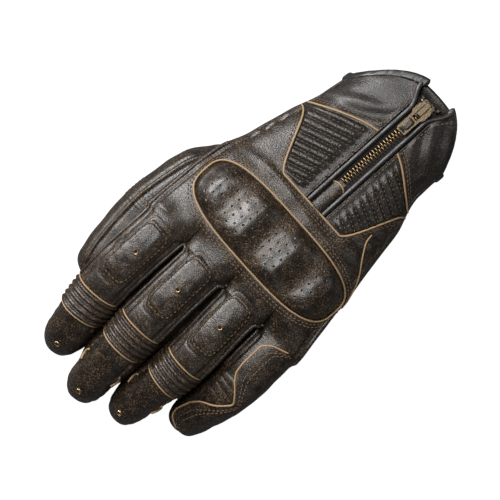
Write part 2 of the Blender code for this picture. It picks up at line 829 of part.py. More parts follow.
sheet("little_patch", lambda a, b: patch_place(a, b, WEB_X - 0.0045, little.bend_start + 0.001, PATCH_FROM,
                                               PATCH_FROM + 0.9), 10, 5, PATCH,
      lambda p: little.centre(p.x), LEATHER_MATERIAL)
sheet("little_tip_patch", lambda a, b: patch_place(a, b, little.bend_end - 0.001, little.tip_x + 0.0075,
                                                   PATCH_FROM + 0.7, PATCH_FROM - 0.2), 10, 5, PATCH,
      lambda p: little.centre(p.x), LEATHER_MATERIAL)

# Pad under the heel of the palm, flat where the glove lies on it
def heel_place(a, b, flat):
    u, v, r = disc(a, b, 5.0)
    x = HEEL_X + HEEL_HALF_LENGTH * u
    y = HEEL_Y + HEEL_HALF_WIDTH * v
    if flat:
        return Vector((x, y, 0.0))
    t = (y - middle_y(x)) / half_width(x)
    return Vector((x, y, seam_z(x) - (seam_z(x) - bottom_z(x)) * arch(t, PALM_FULLNESS) - SEAT))


slab("palm_heel_pad", lambda a, b: heel_place(a, b, True), lambda a, b: heel_place(a, b, False), 8, 8,
     LEATHER_MATERIAL)

# Wrist panels: quilted panels, cuff panels and the bound hem
def wrist_place(a, b, side, start, end):
    """a runs from the zip to the side seam, b from the start line to the end line."""
    x = mix(start(a), end(a), b)
    for _ in range(6):
        share = mix(panel_edge(x) / seam_reach(x, side), 1.0, a)
        x = mix(start(share), end(share), b)
    return x, angle_at(x, ZIP_Y + side * seam_reach(x, side) * share)


for side, name in ((1.0, "thumb_side"), (-1.0, "little_side")):
    def quilt_place(a, b, side=side):
        x, angle = wrist_place(a, b, side, lambda s: back_end(s) + 0.5 * PANEL_GAP,
                               lambda s: quilt_end(s) - 0.5 * PANEL_GAP)
        wave = 0.5 - 0.5 * math.cos(2.0 * math.pi * QUILT_RIDGES * b)
        return hand_point(x, angle, QUILT_HEIGHT * wave * ease((1.0 - a) / 0.3))

    def cuff_place(a, b, side=side):
        x, angle = wrist_place(a, b, side, lambda s: quilt_end(s) + 0.5 * PANEL_GAP,
                               lambda s: hem(s) - HEM_BAND - PANEL_GAP)
        return hand_point(x, angle)

    sheet("quilted_panel_" + name, quilt_place, 6, 2 * QUILT_RIDGES, LEATHER, hand_core, LEATHER_MATERIAL)
    sheet("cuff_panel_" + name, cuff_place, 8, 5, LEATHER, hand_core, LEATHER_MATERIAL)


def hem_place(a, b):
    """a runs from the zip on the thumb side under the wrist to the zip on the other side."""
    side = 1.0 if a < 0.5 else -1.0
    f = min(a, 1.0 - a) / 0.25
    inside = HEM_BAND * (1.0 - b)
    if f < 1.0:
        x, angle = wrist_place(f, 1.0, side, hem, lambda share: hem(share) - inside)
        return hand_point(x, angle, HEM_PROUD)
    x = HEM_SIDE_X - inside
    angle = mix(SEAM_ANGLE, -0.5 * math.pi, f - 1.0)
    if side < 0.0:
        angle = math.pi - angle
    return hand_point(x, angle, HEM_PROUD)


sheet("hem_binding", hem_place, 40, 2, HEM_PROUD + LEATHER + GAP + LINING, hand_core, LEATHER_MATERIAL)

# Tan piping at the quilted panels
def seam_line(name, line):
    """Cord along a line across the wrist, from seam to seam; line(share) gives its x."""
    for side, label in ((1.0, "thumb_side"), (-1.0, "little_side")):
        points = []
        for i in range(13):
            share = i / 12.0
            x = line(share)
            start = angle_at(x, ZIP_Y + side * panel_edge(x))
            seam = SEAM_ANGLE + 0.06 if side > 0.0 else math.pi - SEAM_ANGLE - 0.06
            points.append(hand_point(x, mix(start, seam, share), PIPING_RADIUS + 2.0 * SEAT))
        cord(name + "_" + label, points, PIPING_RADIUS, TAN_MATERIAL)


seam_line("wrist_piping", back_end)
seam_line("cuff_piping", quilt_end)

# Zip tapes, rows of teeth, stops, welts, end tab and underlay
ZIP_TOP = top_z(QUILT_END_X) - LEATHER - GAP
CHAIN_Z = ZIP_TOP - 0.5 * TAPE
for side, name in ((1.0, "thumb_side"), (-1.0, "little_side")):
    def tape_place(a, b, side=side):
        x = mix(TAB_END_X + 4.0 * GAP, hem(0.25) - HEM_BAND - 0.004, b)
        inner = CHAIN_HALF_WIDTH + SEAT + zip_flare(x)
        y = ZIP_Y + side * (inner + TAPE_WIDTH * a)
        return hand_point(x, angle_at(x, y), -(LEATHER + GAP))

    sheet("zip_tape_" + name, tape_place, 3, 10, TAPE, hand_core, FABRIC_MATERIAL)

    outline = []
    count = int((CHAIN_END_X - CHAIN_START_X) / TOOTH_PITCH)
    first = CHAIN_START_X + (0.0 if side > 0.0 else 0.5 * TOOTH_PITCH)
    for i in range(count):
        x = first + i * TOOTH_PITCH
        root = CHAIN_HALF_WIDTH - SPINE_WIDTH + zip_flare(x)
        tip = zip_flare(x) - TOOTH_CROSSING
        outline += [(x, root), (x, tip), (x + TOOTH_THICKNESS, tip), (x + TOOTH_THICKNESS, root)]
    last = first + (count - 1) * TOOTH_PITCH + TOOTH_THICKNESS
    back = [(mix(last, first, i / 12.0), CHAIN_HALF_WIDTH + zip_flare(mix(last, first, i / 12.0)))
            for i in range(13)]
    comb = [(x, ZIP_Y + side * y) for x, y in outline + back]
    teeth = plate("zip_teeth_" + name, [comb], TOOTH_HEIGHT, BRASS_MATERIAL)
    teeth.location.z = CHAIN_Z
    teeth = to_mesh(teeth)

    stop_x = last + 0.0009
    stop_y = ZIP_Y + side * (zip_flare(stop_x) + 0.5 * CHAIN_HALF_WIDTH + 0.0006)
    bpy.ops.mesh.primitive_cube_add(size=1.0, location=(stop_x, stop_y, CHAIN_Z))
    stop = bpy.context.object
    stop.name = "zip_top_stop_" + name
    stop.scale = (0.0011, 0.0014, 0.0020)
    for collection in list(stop.users_collection):
        collection.objects.unlink(stop)
    glove.objects.link(stop)
    stop.data.materials.append(DARK_METAL_MATERIAL)

    welt = []
    for i in range(15):
        x = mix(TAB_START_X, hem(0.2) - 0.0012, i / 14.0)
        y = ZIP_Y + side * (panel_edge(x) - WELT_RADIUS - SEAT)
        welt.append(hand_point(x, angle_at(x, y), -0.35 * WELT_RADIUS))
    cord("zip_welt_" + name, welt, WELT_RADIUS, LEATHER_MATERIAL)

bpy.ops.mesh.primitive_cube_add(size=1.0, location=(CHAIN_START_X - 0.0006 - 0.5 * STOP_LENGTH, ZIP_Y, CHAIN_Z))
stop = bpy.context.object
stop.name = "zip_bottom_stop"
stop.scale = (STOP_LENGTH, 2.0 * CHAIN_HALF_WIDTH - SPINE_WIDTH, TOOTH_HEIGHT)
for collection in list(stop.users_collection):
    collection.objects.unlink(stop)
glove.objects.link(stop)
stop.data.materials.append(DARK_METAL_MATERIAL)


def tab_place(a, b, rise):
    x = mix(TAB_START_X, TAB_END_X, b)
    half = ZIP_HALF_GAP - GAP - 0.0002
    y = ZIP_Y + half * (2.0 * a - 1.0)
    low = top_z(x) - LEATHER - TAPE - GAP
    crown = arch(0.97 * (2.0 * a - 1.0), 2.4)
    return Vector((x, y, low + rise * (0.0007 + 0.0016 * crown)))


slab("zip_end_tab", lambda a, b: tab_place(a, b, 0.0), lambda a, b: tab_place(a, b, 1.0), 8, 4, LEATHER_MATERIAL)

SLIDER_LOW = CHAIN_Z - 0.5 * TOOTH_HEIGHT - GAP
SLIDER_HIGH = CHAIN_Z + 0.5 * TOOTH_HEIGHT + GAP


def underlay_place(a, b):
    x = mix(BACK_END_X - UNDERLAY_LAP, UNDERLAY_END_X, b)
    y = ZIP_Y + UNDERLAY_HALF_WIDTH * (2.0 * a - 1.0)
    drop = LEATHER + GAP + TAPE + LINING + UNDERLAY_DROP
    return hand_point(x, angle_at(x, y), -drop)


sheet("zip_underlay", underlay_place, 4, 6, LINING, hand_core, LEATHER_MATERIAL)

# Slider: two plates, neck and bridge in one casting
def slider_outline(grow):
    nose = SLIDER_X + grow
    heel = SLIDER_X + SLIDER_LENGTH - grow
    half = SLIDER_HALF_WIDTH - grow
    tip = SLIDER_NOSE_HALF_WIDTH - grow
    side = [(nose, -0.7 * tip), (nose + 0.0008, -tip), (nose + 0.0040, -tip), (nose + 0.0066, -half),
            (heel - 0.0012, -half), (heel, -0.75 * half)]
    return [(x, ZIP_Y + y) for x, y in side] + [(x, ZIP_Y - y) for x, y in reversed(side)]


slider = plate("zip_slider", [slider_outline(0.0)], SLIDER_PLATE, DARK_METAL_MATERIAL)
slider.location.z = SLIDER_HIGH + 0.5 * SLIDER_PLATE
slider = to_mesh(slider)
lower = plate("slider_lower", [slider_outline(0.0002)], SLIDER_PLATE, DARK_METAL_MATERIAL, cutters)
lower.location.z = SLIDER_LOW - 0.5 * SLIDER_PLATE
lower = to_mesh(lower)
neck_x = SLIDER_X + SLIDER_LENGTH - 0.0017
bpy.ops.mesh.primitive_cylinder_add(vertices=10, radius=SLIDER_NECK_RADIUS,
                                    depth=SLIDER_HIGH - SLIDER_LOW + SLIDER_PLATE,
                                    location=(neck_x, ZIP_Y, 0.5 * (SLIDER_HIGH + SLIDER_LOW)))
neck = bpy.context.object
neck.name = "slider_neck"
BRIDGE_BASE = SLIDER_HIGH + SLIDER_PLATE
bridge_start = SLIDER_X + 0.0002
bridge_end = SLIDER_X + SLIDER_LENGTH - 0.0006
metal = BRIDGE_METAL
low = -0.0004
bridge_side = [(bridge_start, low), (bridge_start, BRIDGE_HEIGHT - 0.0005), (bridge_start + 0.0005, BRIDGE_HEIGHT),
               (bridge_end - 0.0005, BRIDGE_HEIGHT), (bridge_end, BRIDGE_HEIGHT - 0.0005), (bridge_end, low),
               (bridge_end - metal, low), (bridge_end - metal, BRIDGE_HEIGHT - metal),
               (bridge_start + metal, BRIDGE_HEIGHT - metal), (bridge_start + metal, low)]
bridge = plate("slider_bridge", [bridge_side], 2.0 * BRIDGE_HALF_WIDTH, BRASS_MATERIAL, cutters)
bridge.rotation_euler.x = 0.5 * math.pi
bridge.location = (0.0, ZIP_Y, BRIDGE_BASE)
bpy.context.view_layer.update()
bridge = to_mesh(bridge)
for piece in (neck,):
    for collection in list(piece.users_collection):
        collection.objects.unlink(piece)
    cutters.objects.link(piece)
for piece in (neck, lower, bridge):
    cut(slider, piece, "UNION")

# Puller on the bridge, turning on its bar
PULL_X = bridge_end - metal - PULL_BAR - GAP
PULL_Z = BRIDGE_BASE + PULL_BAR + GAP + 0.0001
eye_end = PULL_X - PULL_EYE_LENGTH
tip_x = PULL_X - PULL_LENGTH
inner = BRIDGE_HALF_WIDTH + 2.0 * GAP
side = [(tip_x, -0.8 * PULL_HALF_WIDTH), (tip_x + 0.0006, -PULL_HALF_WIDTH), (eye_end + 0.0010, -PULL_HALF_WIDTH),
        (eye_end + 0.0030, -PULL_EYE_HALF_WIDTH), (PULL_X - 0.0020, -PULL_EYE_HALF_WIDTH),
        (PULL_X + PULL_BAR, -0.6 * PULL_EYE_HALF_WIDTH)]
pull_outline = [(x, y) for x, y in side] + [(x, -y) for x, y in reversed(side)]
pull_hole = [(eye_end, -inner), (PULL_X - PULL_BAR, -inner), (PULL_X - PULL_BAR, inner), (eye_end, inner)]
pull_slot = [(tip_x + 0.0012, -0.0012), (tip_x + 0.0022, -0.0012), (tip_x + 0.0022, 0.0012),
             (tip_x + 0.0012, 0.0012)]
local = [[(x - PULL_X, y) for x, y in line] for line in (pull_outline, pull_hole, pull_slot)]
pull = plate("zip_pull", local, PULL_THICKNESS, BRASS_MATERIAL)
pull.location = (PULL_X, ZIP_Y, PULL_Z)
bpy.context.view_layer.update()
to_mesh(pull)

# Joint frames: an empty on each axis
joints = bpy.data.collections.new("joint_axes")
bpy.context.scene.collection.children.link(joints)
for name, at in [(f.name + "_flex", f.centre(f.bend_x)) for f in fingers.values()] + [
        ("thumb_swing", thumb.centre(THUMB_BEND_X)), ("zip_slide", Vector((SLIDER_X, ZIP_Y, CHAIN_Z))),
        ("pull_swing", Vector((PULL_X, ZIP_Y, PULL_Z)))]:
    marker = bpy.data.objects.new(name, None)
    marker.location = at
    marker.empty_display_size = 0.005
    joints.objects.link(marker)

# Origin: middle of the outline in plan, on the surface the glove lies on
bpy.context.view_layer.update()
graph = bpy.context.evaluated_depsgraph_get()
corners = []
for piece in glove.objects:
    shape = piece.evaluated_get(graph).to_mesh()
    corners += [piece.matrix_world @ vert.co for vert in shape.vertices]
    piece.evaluated_get(graph).to_mesh_clear()
shift = Vector((0.5 * (min(c.x for c in corners) + max(c.x for c in corners)),
                0.5 * (min(c.y for c in corners) + max(c.y for c in corners)), 0.0))
for piece in bpy.data.objects:
    piece.location -= shift
for marker in joints.objects:
    print(marker.name, [round(value, 5) for value in marker.location])
print("shift", [round(value, 5) for value in shift])
for finger in fingers.values():
    print(finger.name, "across", [round(value, 4) for value in finger.axes(finger.bend_x)[1]])
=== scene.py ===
"""Look of the leather riding glove, piece by piece, from the palm hide to the zip's puller.

Lengths are metres. Points are worked out in the glove's own plan: x from the fingertips to the cuff,
y toward the thumb, z up from the palm. mesh_object moves them to the frame's origin.
"""
import json
import math
from functools import partial

import bpy
import numpy as np
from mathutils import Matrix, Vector


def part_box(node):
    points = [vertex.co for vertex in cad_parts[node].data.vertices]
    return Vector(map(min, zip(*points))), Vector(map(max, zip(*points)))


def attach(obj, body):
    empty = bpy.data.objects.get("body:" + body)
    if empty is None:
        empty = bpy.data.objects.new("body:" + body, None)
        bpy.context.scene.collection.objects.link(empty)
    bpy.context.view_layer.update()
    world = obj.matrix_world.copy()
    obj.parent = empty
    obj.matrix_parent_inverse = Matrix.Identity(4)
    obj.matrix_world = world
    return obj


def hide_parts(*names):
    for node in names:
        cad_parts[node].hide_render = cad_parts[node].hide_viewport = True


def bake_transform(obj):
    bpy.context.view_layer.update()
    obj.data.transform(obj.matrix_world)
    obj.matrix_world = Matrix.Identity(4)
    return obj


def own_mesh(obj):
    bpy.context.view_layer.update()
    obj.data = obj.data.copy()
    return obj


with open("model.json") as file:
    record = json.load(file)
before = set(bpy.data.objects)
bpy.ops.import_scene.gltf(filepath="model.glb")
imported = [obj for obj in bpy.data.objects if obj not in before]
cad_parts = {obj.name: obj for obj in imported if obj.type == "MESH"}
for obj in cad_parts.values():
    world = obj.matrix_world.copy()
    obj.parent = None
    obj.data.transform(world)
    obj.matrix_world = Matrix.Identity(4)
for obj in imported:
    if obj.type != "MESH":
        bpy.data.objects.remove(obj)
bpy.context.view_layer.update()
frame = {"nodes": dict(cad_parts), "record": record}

# Palm hide: the front of the hand, from one side seam round to the other, with the thumb coming out of it.
# It is one piece of soft dark leather with a rubbed grain, sewn to the back hide along both side seams.
# The hand's form is a row of superellipses along x that run into four finger roots at the webs.
PALM_REST = np.array([0.0600, -0.0050, 0.0])
SHIFT = PALM_REST - np.array(frame["record"]["mounts"][0]["pos_m"])
WEB, BLEND = -0.0230, -0.0082
BACK_P, PALM_P, FINGER_P = 2.6, 3.4, 2.3
SEAM = math.radians(17.0)
SEAM_LAP = 0.02
HAND_SEAM = math.cos(SEAM) ** (2 / BACK_P)
FINGER_SEAM = math.cos(SEAM) ** (2 / FINGER_P)
HEM_SIDE_X = 0.1030
PALM_END = HEM_SIDE_X - 0.0050
HIDE_THICK = 0.0012
PALM_SWELL, PALM_BEAD = 0.00025, 0.0006
PALM_CREASE, PALM_CREASE_PITCH = 0.0003, 0.009
STATIONS = [WEB, 0.0, 0.022, 0.042, 0.064, 0.086, 0.131]
# Each finger's share of the width over the knuckles, the height of its root and half its thickness there.
KNUCKLE_WIDTH = 0.1135
KNUCKLES = (("index", 0.0285, 0.0400, 0.0122), ("middle", 0.0298, 0.0405, 0.0122),
            ("ring", 0.0282, 0.0385, 0.0118), ("little", 0.0270, 0.0335, 0.0114))


def track(xs, ys):
    """Smooth curve through points: a cubic between neighbours, level at the ends and at each turn.

    Inner slopes are the harmonic mean of the slopes on both sides, so the curve never runs past a point.
    """
    xs, ys = np.array(xs, float), np.array(ys, float)
    rise = np.diff(ys) / np.diff(xs)
    slope = np.zeros(len(xs))
    same = rise[:-1] * rise[1:] > 0
    total = np.where(same, rise[:-1] + rise[1:], 1.0)
    slope[1:-1] = np.where(same, 2 * rise[:-1] * rise[1:] / total, 0.0)

    def value(x):
        """Height at x from the two nearest points and their slopes."""
        x = np.clip(x, xs[0], xs[-1])
        i = np.clip(np.searchsorted(xs, x, side="left") - 1, 0, len(xs) - 2)
        step = xs[i + 1] - xs[i]
        f = (x - xs[i]) / step
        return ((1 + 2 * f) * (1 - f) ** 2 * ys[i] + f * (1 - f) ** 2 * step * slope[i]
                + f * f * (3 - 2 * f) * ys[i + 1] + f * f * (f - 1) * step * slope[i + 1])

    return value


def ease(f):
    """Smooth step: 3 f^2 - 2 f^3, with f held between 0 and 1."""
    f = np.clip(f, 0.0, 1.0)
    return f * f * (3 - 2 * f)


def mix(a, b, f):
    """Straight blend: a where f is 0, b where f is 1."""
    return a + (b - a) * f


def power(v, e):
    """Power that keeps the sign of v, for superellipses."""
    return np.sign(v) * np.abs(v) ** e


def arch(t, p):
    """Height of a unit superellipse at t: (1 - |t|^p)^(1/p)."""
    return np.maximum(0.0, 1.0 - np.abs(t) ** p) ** (1.0 / p)


def bell(d, width):
    """Bell-shaped rise of height 1: exp(-(d / width)^2)."""
    return np.exp(-(d / width) ** 2)


thumb_edge = track(STATIONS, [0.0553, 0.0548, 0.0530, 0.0468, 0.0420, 0.0360, 0.0325])
little_edge = track(STATIONS, [-0.0618, -0.0575, -0.0542, -0.0500, -0.0460, -0.0388, -0.0405])
top_z = track(STATIONS, [0.0520, 0.0545, 0.0535, 0.0520, 0.0520, 0.0520, 0.0520])
seam_z = track(STATIONS, [0.0380, 0.0340, 0.0300, 0.0270, 0.0270, 0.0270, 0.0270])
bottom_z = track(STATIONS, [0.0270, 0.0150, 0.0060, 0.0020, 0.0020, 0.0020, 0.0020])


def mid_y(x):
    """Middle line of the hand in plan: half way between its two edges."""
    return 0.5 * (thumb_edge(x) + little_edge(x))


def half_w(x):
    """Half the hand's width in plan."""
    return 0.5 * (thumb_edge(x) - little_edge(x))


ROOTS = {}
passed = 0.0
for name, share, root_z, tall in KNUCKLES:
    ROOTS[name] = (passed / KNUCKLE_WIDTH, (passed + share) / KNUCKLE_WIDTH, root_z, tall)
    passed += share


def hand(x, angle, lift=0.0):
    """Point of the hand at station x: y = middle + half width cos^(2/p), z = seam + half height sin^(2/p).

    Angle 0 is the thumb side and a quarter turn the top; p differs on back and palm. Toward the webs the
    height eases into the finger roots, each an arch over its own share of the width.
    """
    x, angle = np.broadcast_arrays(np.asarray(x, float), angle)
    up = np.sin(angle) >= 0
    p = np.where(up, BACK_P, PALM_P)
    across, rise = power(np.cos(angle), 2 / p), power(np.sin(angle), 2 / p)
    y = mid_y(x) + (half_w(x) + lift) * across
    z = seam_z(x) + (np.where(up, top_z(x) - seam_z(x), seam_z(x) - bottom_z(x)) + lift) * rise
    share = np.clip(0.5 * (1 - across / HAND_SEAM), 0, 1)
    root = np.zeros_like(z)
    for first, last, root_z, tall in ROOTS.values():
        t = np.clip((first + last - 2 * share) / (last - first), -1, 1)
        here = (share >= first - 1e-9) & (share <= last + 1e-9)
        root = np.where(here, root_z + np.where(up, 1, -1) * tall * arch(t * FINGER_SEAM, FINGER_P), root)
    edge = mix(ROOTS["index"][2], ROOTS["little"][2], 0.5 - 0.5 * across)
    root = mix(edge, root, ease(np.abs(rise) / 0.45)) + lift * rise
    return np.stack([x, y, mix(root, z, ease((x - WEB) / (BLEND - WEB)))], -1)


def hand_core(c):
    """Points on the hand's middle line, level with the seams, beside the given points."""
    return np.stack([c[:, 0], mid_y(c[:, 0]), seam_z(c[:, 0])], -1)


def normals(p):
    """Unit normals of a grid of points: the cross product of its two gradients."""
    a, b = np.gradient(p, axis=0), np.gradient(p, axis=1)
    n = np.cross(a, b)
    return n / np.maximum(np.linalg.norm(n, axis=-1, keepdims=True), 1e-12)


rng = np.random.default_rng(5)
WAVES = [(rng.normal(size=(3, 10)), rng.uniform(0, 6.28, 10)) for _ in range(4)]


def noise(p, size, octave=0):
    """Smooth noise of about the given size: the sum of ten sine waves in fixed random directions."""
    k, phase = WAVES[octave]
    k = k / np.linalg.norm(k, axis=0) * (2 * np.pi / size)
    return np.sin(p @ k + phase).sum(-1) / 4.5


def mesh_object(name, points, faces, material, fields=None):
    """A smooth-shaded object from points and quads, with float attributes on its points."""
    points = np.asarray(points, float).reshape(-1, 3) - SHIFT
    faces = np.asarray(faces, np.int32)
    mesh = bpy.data.meshes.new(name)
    mesh.vertices.add(len(points))
    mesh.vertices.foreach_set("co", points.ravel())
    mesh.loops.add(faces.size)
    mesh.loops.foreach_set("vertex_index", faces.ravel())
    mesh.polygons.add(len(faces))
    mesh.polygons.foreach_set("loop_start", np.arange(0, faces.size, faces.shape[1], dtype=np.int32))
    mesh.polygons.foreach_set("use_smooth", np.ones(len(faces), bool))
    mesh.update(calc_edges=True)
    mesh.validate()
    for key, values in (fields or {}).items():
        data = mesh.attributes.new(key, "FLOAT", "POINT").data
        data.foreach_set("value", np.asarray(values, np.float32).ravel())
    mesh.materials.append(material)
    made = bpy.data.objects.new(name, mesh)
    bpy.context.scene.collection.objects.link(made)
    return made


def quads(rows, cols, wrap=False, start=0):
    """Quads of a grid whose points are numbered row by row; wrap joins its last column to its first."""
    i = np.arange(rows * cols).reshape(rows, cols) + start
    if wrap:
        i = np.concatenate([i, i[:, :1]], 1)
    return np.stack([i[:-1, :-1], i[:-1, 1:], i[1:, 1:], i[1:, :-1]], -1).reshape(-1, 4)


def rim_quads(rows, cols):
    """Quads that join the border of a grid to the border of a second grid, numbered after it."""
    i = np.arange(rows * cols).reshape(rows, cols)
    r = np.concatenate([i[0], i[1:, -1], i[-1, -2::-1], i[-2::-1, 0]])
    return np.stack([r[:-1], r[1:], r[1:] + rows * cols, r[:-1] + rows * cols], -1)


def out_faces(points, faces, core):
    """The quads, turned round together if their normals point toward the core on the whole."""
    c = points[faces].mean(1)
    n = np.cross(points[faces[:, 1]] - points[faces[:, 0]], points[faces[:, 2]] - points[faces[:, 0]])
    return faces if (n * (c - core(c))).sum() > 0 else faces[:, ::-1]


def shell(name, p, material, core, thick=HIDE_THICK, fields=None):
    """A sheet with thickness: a grid of points, the same grid moved inward along its normals, and a rim."""
    rows, cols = p.shape[:2]
    flat = p.reshape(-1, 3)
    outer = out_faces(flat, quads(rows, cols), core)
    n = normals(p).reshape(-1, 3)
    if (n * (flat - core(flat))).sum() < 0:
        n = -n
    faces = np.concatenate([outer, outer[:, ::-1] + rows * cols, rim_quads(rows, cols)])
    doubled = {k: np.concatenate([np.ravel(v), np.ravel(v) * 0]) for k, v in (fields or {}).items()}
    return mesh_object(name, np.concatenate([flat, flat - n * thick]), faces, material, doubled)


def wire(tree, kind, inputs, **options):
    """Add a shader node: set its options, then give each input a value or a socket to link from."""
    node = tree.nodes.new(kind)
    for key, value in options.items():
        setattr(node, key, value)
    for key, value in inputs.items():
        if isinstance(value, bpy.types.NodeSocket):
            tree.links.new(value, node.inputs[key])
        else:
            node.inputs[key].default_value = value
    return node


# Grain of every hide. Rub = 0.35 wear + specks (2.2 wear + patches), with specks between the grain's cells.
grain = bpy.data.node_groups.new("hide_grain", "ShaderNodeTree")
for key, way in (("Wear", "INPUT"), ("Size", "INPUT"),
                 ("Rub", "OUTPUT"), ("Height", "OUTPUT"), ("Cloud", "OUTPUT")):
    grain.interface.new_socket(name=key, in_out=way, socket_type="NodeSocketFloat")
given = grain.nodes.new("NodeGroupInput")
place = grain.nodes.new("ShaderNodeTexCoord").outputs["Object"]
cells = wire(grain, "ShaderNodeTexVoronoi", {"Vector": place, "Scale": given.outputs["Size"]}, feature="F1")
fine = wire(grain, "ShaderNodeTexNoise", {"Vector": place, "Scale": 1400.0, "Detail": 4.0})
cloud = wire(grain, "ShaderNodeTexNoise", {"Vector": place, "Scale": 170.0, "Detail": 5.0})
speck = wire(grain, "ShaderNodeMapRange",
             {"Value": cells.outputs["Distance"], "From Min": 0.52, "From Max": 0.74})
patchy = wire(grain, "ShaderNodeMapRange",
              {"Value": cloud.outputs["Fac"], "From Min": 0.22, "From Max": 0.70})
worn = wire(grain, "ShaderNodeMath", {0: given.outputs["Wear"], 1: 2.2, 2: patchy.outputs["Result"]},
            operation="MULTIPLY_ADD")
both = wire(grain, "ShaderNodeMath", {0: speck.outputs["Result"], 1: worn.outputs[0]}, operation="MULTIPLY")
rub = wire(grain, "ShaderNodeMath", {0: given.outputs["Wear"], 1: 0.35, 2: both.outputs[0]},
           operation="MULTIPLY_ADD", use_clamp=True)
pebble = wire(grain, "ShaderNodeMath", {0: fine.outputs["Fac"], 1: 0.55, 2: cells.outputs["Distance"]},
              operation="MULTIPLY_ADD")
wire(grain, "NodeGroupOutput",
     {"Rub": rub.outputs[0], "Height": pebble.outputs[0], "Cloud": cloud.outputs["Fac"]})


def hide(name, dark, brown, rough, size, bump, hole=None):
    """A leather material: dark hide that turns brown by Rub, roughness varied by Cloud, grain as bump.

    A painted shade colour, where given, covers the points whose hole attribute is 1, darkening punched holes
    as shade would.
    """
    made = bpy.data.materials.new(name)
    made.use_nodes = True
    tree = made.node_tree
    shader = tree.nodes["Principled BSDF"]
    shader.inputs["Specular IOR Level"].default_value = 0.6
    wear = wire(tree, "ShaderNodeAttribute", {}, attribute_name="wear")
    skin = wire(tree, "ShaderNodeGroup", {"Wear": wear.outputs["Fac"], "Size": size}, node_tree=grain)
    colour = wire(tree, "ShaderNodeMix", {"A": (*dark, 1), "B": (*brown, 1), "Factor": skin.outputs["Rub"]},
                  data_type="RGBA")
    if hole:
        pit = wire(tree, "ShaderNodeAttribute", {}, attribute_name="hole")
        colour = wire(tree, "ShaderNodeMix", {"A": colour.outputs["Result"], "B": (*hole, 1),
                                              "Factor": pit.outputs["Fac"]}, data_type="RGBA")
    tree.links.new(colour.outputs["Result"], shader.inputs["Base Color"])
    shade = wire(tree, "ShaderNodeMapRange", {"Value": skin.outputs["Cloud"], "To Min": rough - 0.08,
                                              "To Max": rough + 0.14})
    tree.links.new(shade.outputs["Result"], shader.inputs["Roughness"])
    bumps = wire(tree, "ShaderNodeBump",
                 {"Strength": bump, "Distance": 0.0004, "Height": skin.outputs["Height"]}, invert=True)
    tree.links.new(bumps.outputs["Normal"], shader.inputs["Normal"])
    return made


def fasten(piece, body="hand"):
    """Give a finished piece the body that it moves with."""
    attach(piece, body)


soft = hide("soft_leather", (0.0085, 0.0076, 0.0067), (0.085, 0.060, 0.042), 0.38, 1500.0, 0.27)
angle = np.linspace(SEAM + SEAM_LAP, -math.pi - SEAM - SEAM_LAP, 180)[None]
x = mix(WEB, PALM_END, np.linspace(0, 1, 170))[:, None]
p = hand(x, angle)
n = normals(p)
n *= np.sign((n.reshape(-1, 3) * (p.reshape(-1, 3) - hand_core(p.reshape(-1, 3)))).sum())
low = ease((-np.sin(angle) - 0.1) / 0.4)
crease = np.sin(x / PALM_CREASE_PITCH * np.pi + 2.5 * noise(p, 0.05, 1)) * ease(noise(p, 0.04, 2) + 0.2)
from_edge = np.minimum(np.abs(angle - angle[0, 0]), np.abs(angle - angle[0, -1])) * 0.05
lift = (PALM_SWELL * noise(p, 0.02) + PALM_CREASE * crease * low
        + PALM_BEAD * bell(from_edge - HIDE_THICK, HIDE_THICK))
palm = shell("palm_hide", p + n * lift[..., None], soft, hand_core,
             fields={"wear": 0.25 * bell(from_edge, 0.0015) + 0 * lift})
fasten(palm)
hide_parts("palm_panel")

# Heel pad: a second piece of the palm's leather over thin padding, under the heel of the palm.
# It is sewn to the palm hide all round, and is flat where the glove lies on it.
HEEL_HALF_LENGTH, HEEL_HALF_WIDTH, HEEL_CORNER = 0.031, 0.027, 5
HEEL_EDGE_RISE = 0.0012
HEEL_GRID = 60


def oblong(rows, cols, corner):
    """A square grid carried to a rounded oblong of half sizes 1, with each point's share of the way out.

    The square goes to a disc, and each ray of the disc is stretched to |cos|^corner + |sin|^corner = 1.
    """
    p, q = np.meshgrid(np.linspace(-1, 1, rows), np.linspace(-1, 1, cols), indexing="ij")
    u, v = p * np.sqrt(1 - 0.5 * q ** 2), q * np.sqrt(1 - 0.5 * p ** 2)
    r = np.hypot(u, v)
    c, s = np.abs(u) / np.maximum(r, 1e-9), np.abs(v) / np.maximum(r, 1e-9)
    k = np.where(r > 1e-9, (c ** corner + s ** corner + 1e-12) ** (-1 / corner), 1.0)
    return u * k, v * k, r


u, v, r = oblong(HEEL_GRID, HEEL_GRID, HEEL_CORNER)
x, y = PALM_REST[0] + HEEL_HALF_LENGTH * u, PALM_REST[1] + HEEL_HALF_WIDTH * v
lower_side = np.stack([x, y, HEEL_EDGE_RISE * ease((r - 0.88) / 0.12)], -1)
palm_z = seam_z(x) - (seam_z(x) - bottom_z(x)) * arch((y - mid_y(x)) / half_w(x), PALM_P)
upper_side = np.stack([x, y, palm_z + 0.0006], -1)
points = np.concatenate([lower_side.reshape(-1, 3), upper_side.reshape(-1, 3)])
faces = quads(HEEL_GRID, HEEL_GRID)
faces = np.concatenate([faces[:, ::-1], faces + HEEL_GRID ** 2, rim_quads(HEEL_GRID, HEEL_GRID)])
piece = mesh_object("heel_pad", points, faces, soft, {"wear": np.zeros(len(points))})
fasten(piece)
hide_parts("palm_heel_pad")

# Lining: thin dark cloth inside the hand and wrist, open under the zip.
# It hangs a little inside the hide and is caught in the hem and beside the zip.
ZIP_Y = -0.0064
LINING_FROM, LINING_TO = -0.004, 0.0985
LINING_DEPTH, CLOTH_THICK = 0.0024, 0.0006
LINING_GAP = 0.0111


def angle_at(x, y):
    """Angle on the back of the hand above a plan place: the superellipse's cosine solved for y."""
    t = np.clip((y - mid_y(x)) / half_w(x), -1, 1)
    return np.arccos(power(t, BACK_P / 2))


def flare(x):
    """How far each side of the zip turns outward near the cuff's edge."""
    return 0.0042 * ease((x - 0.112) / 0.013)


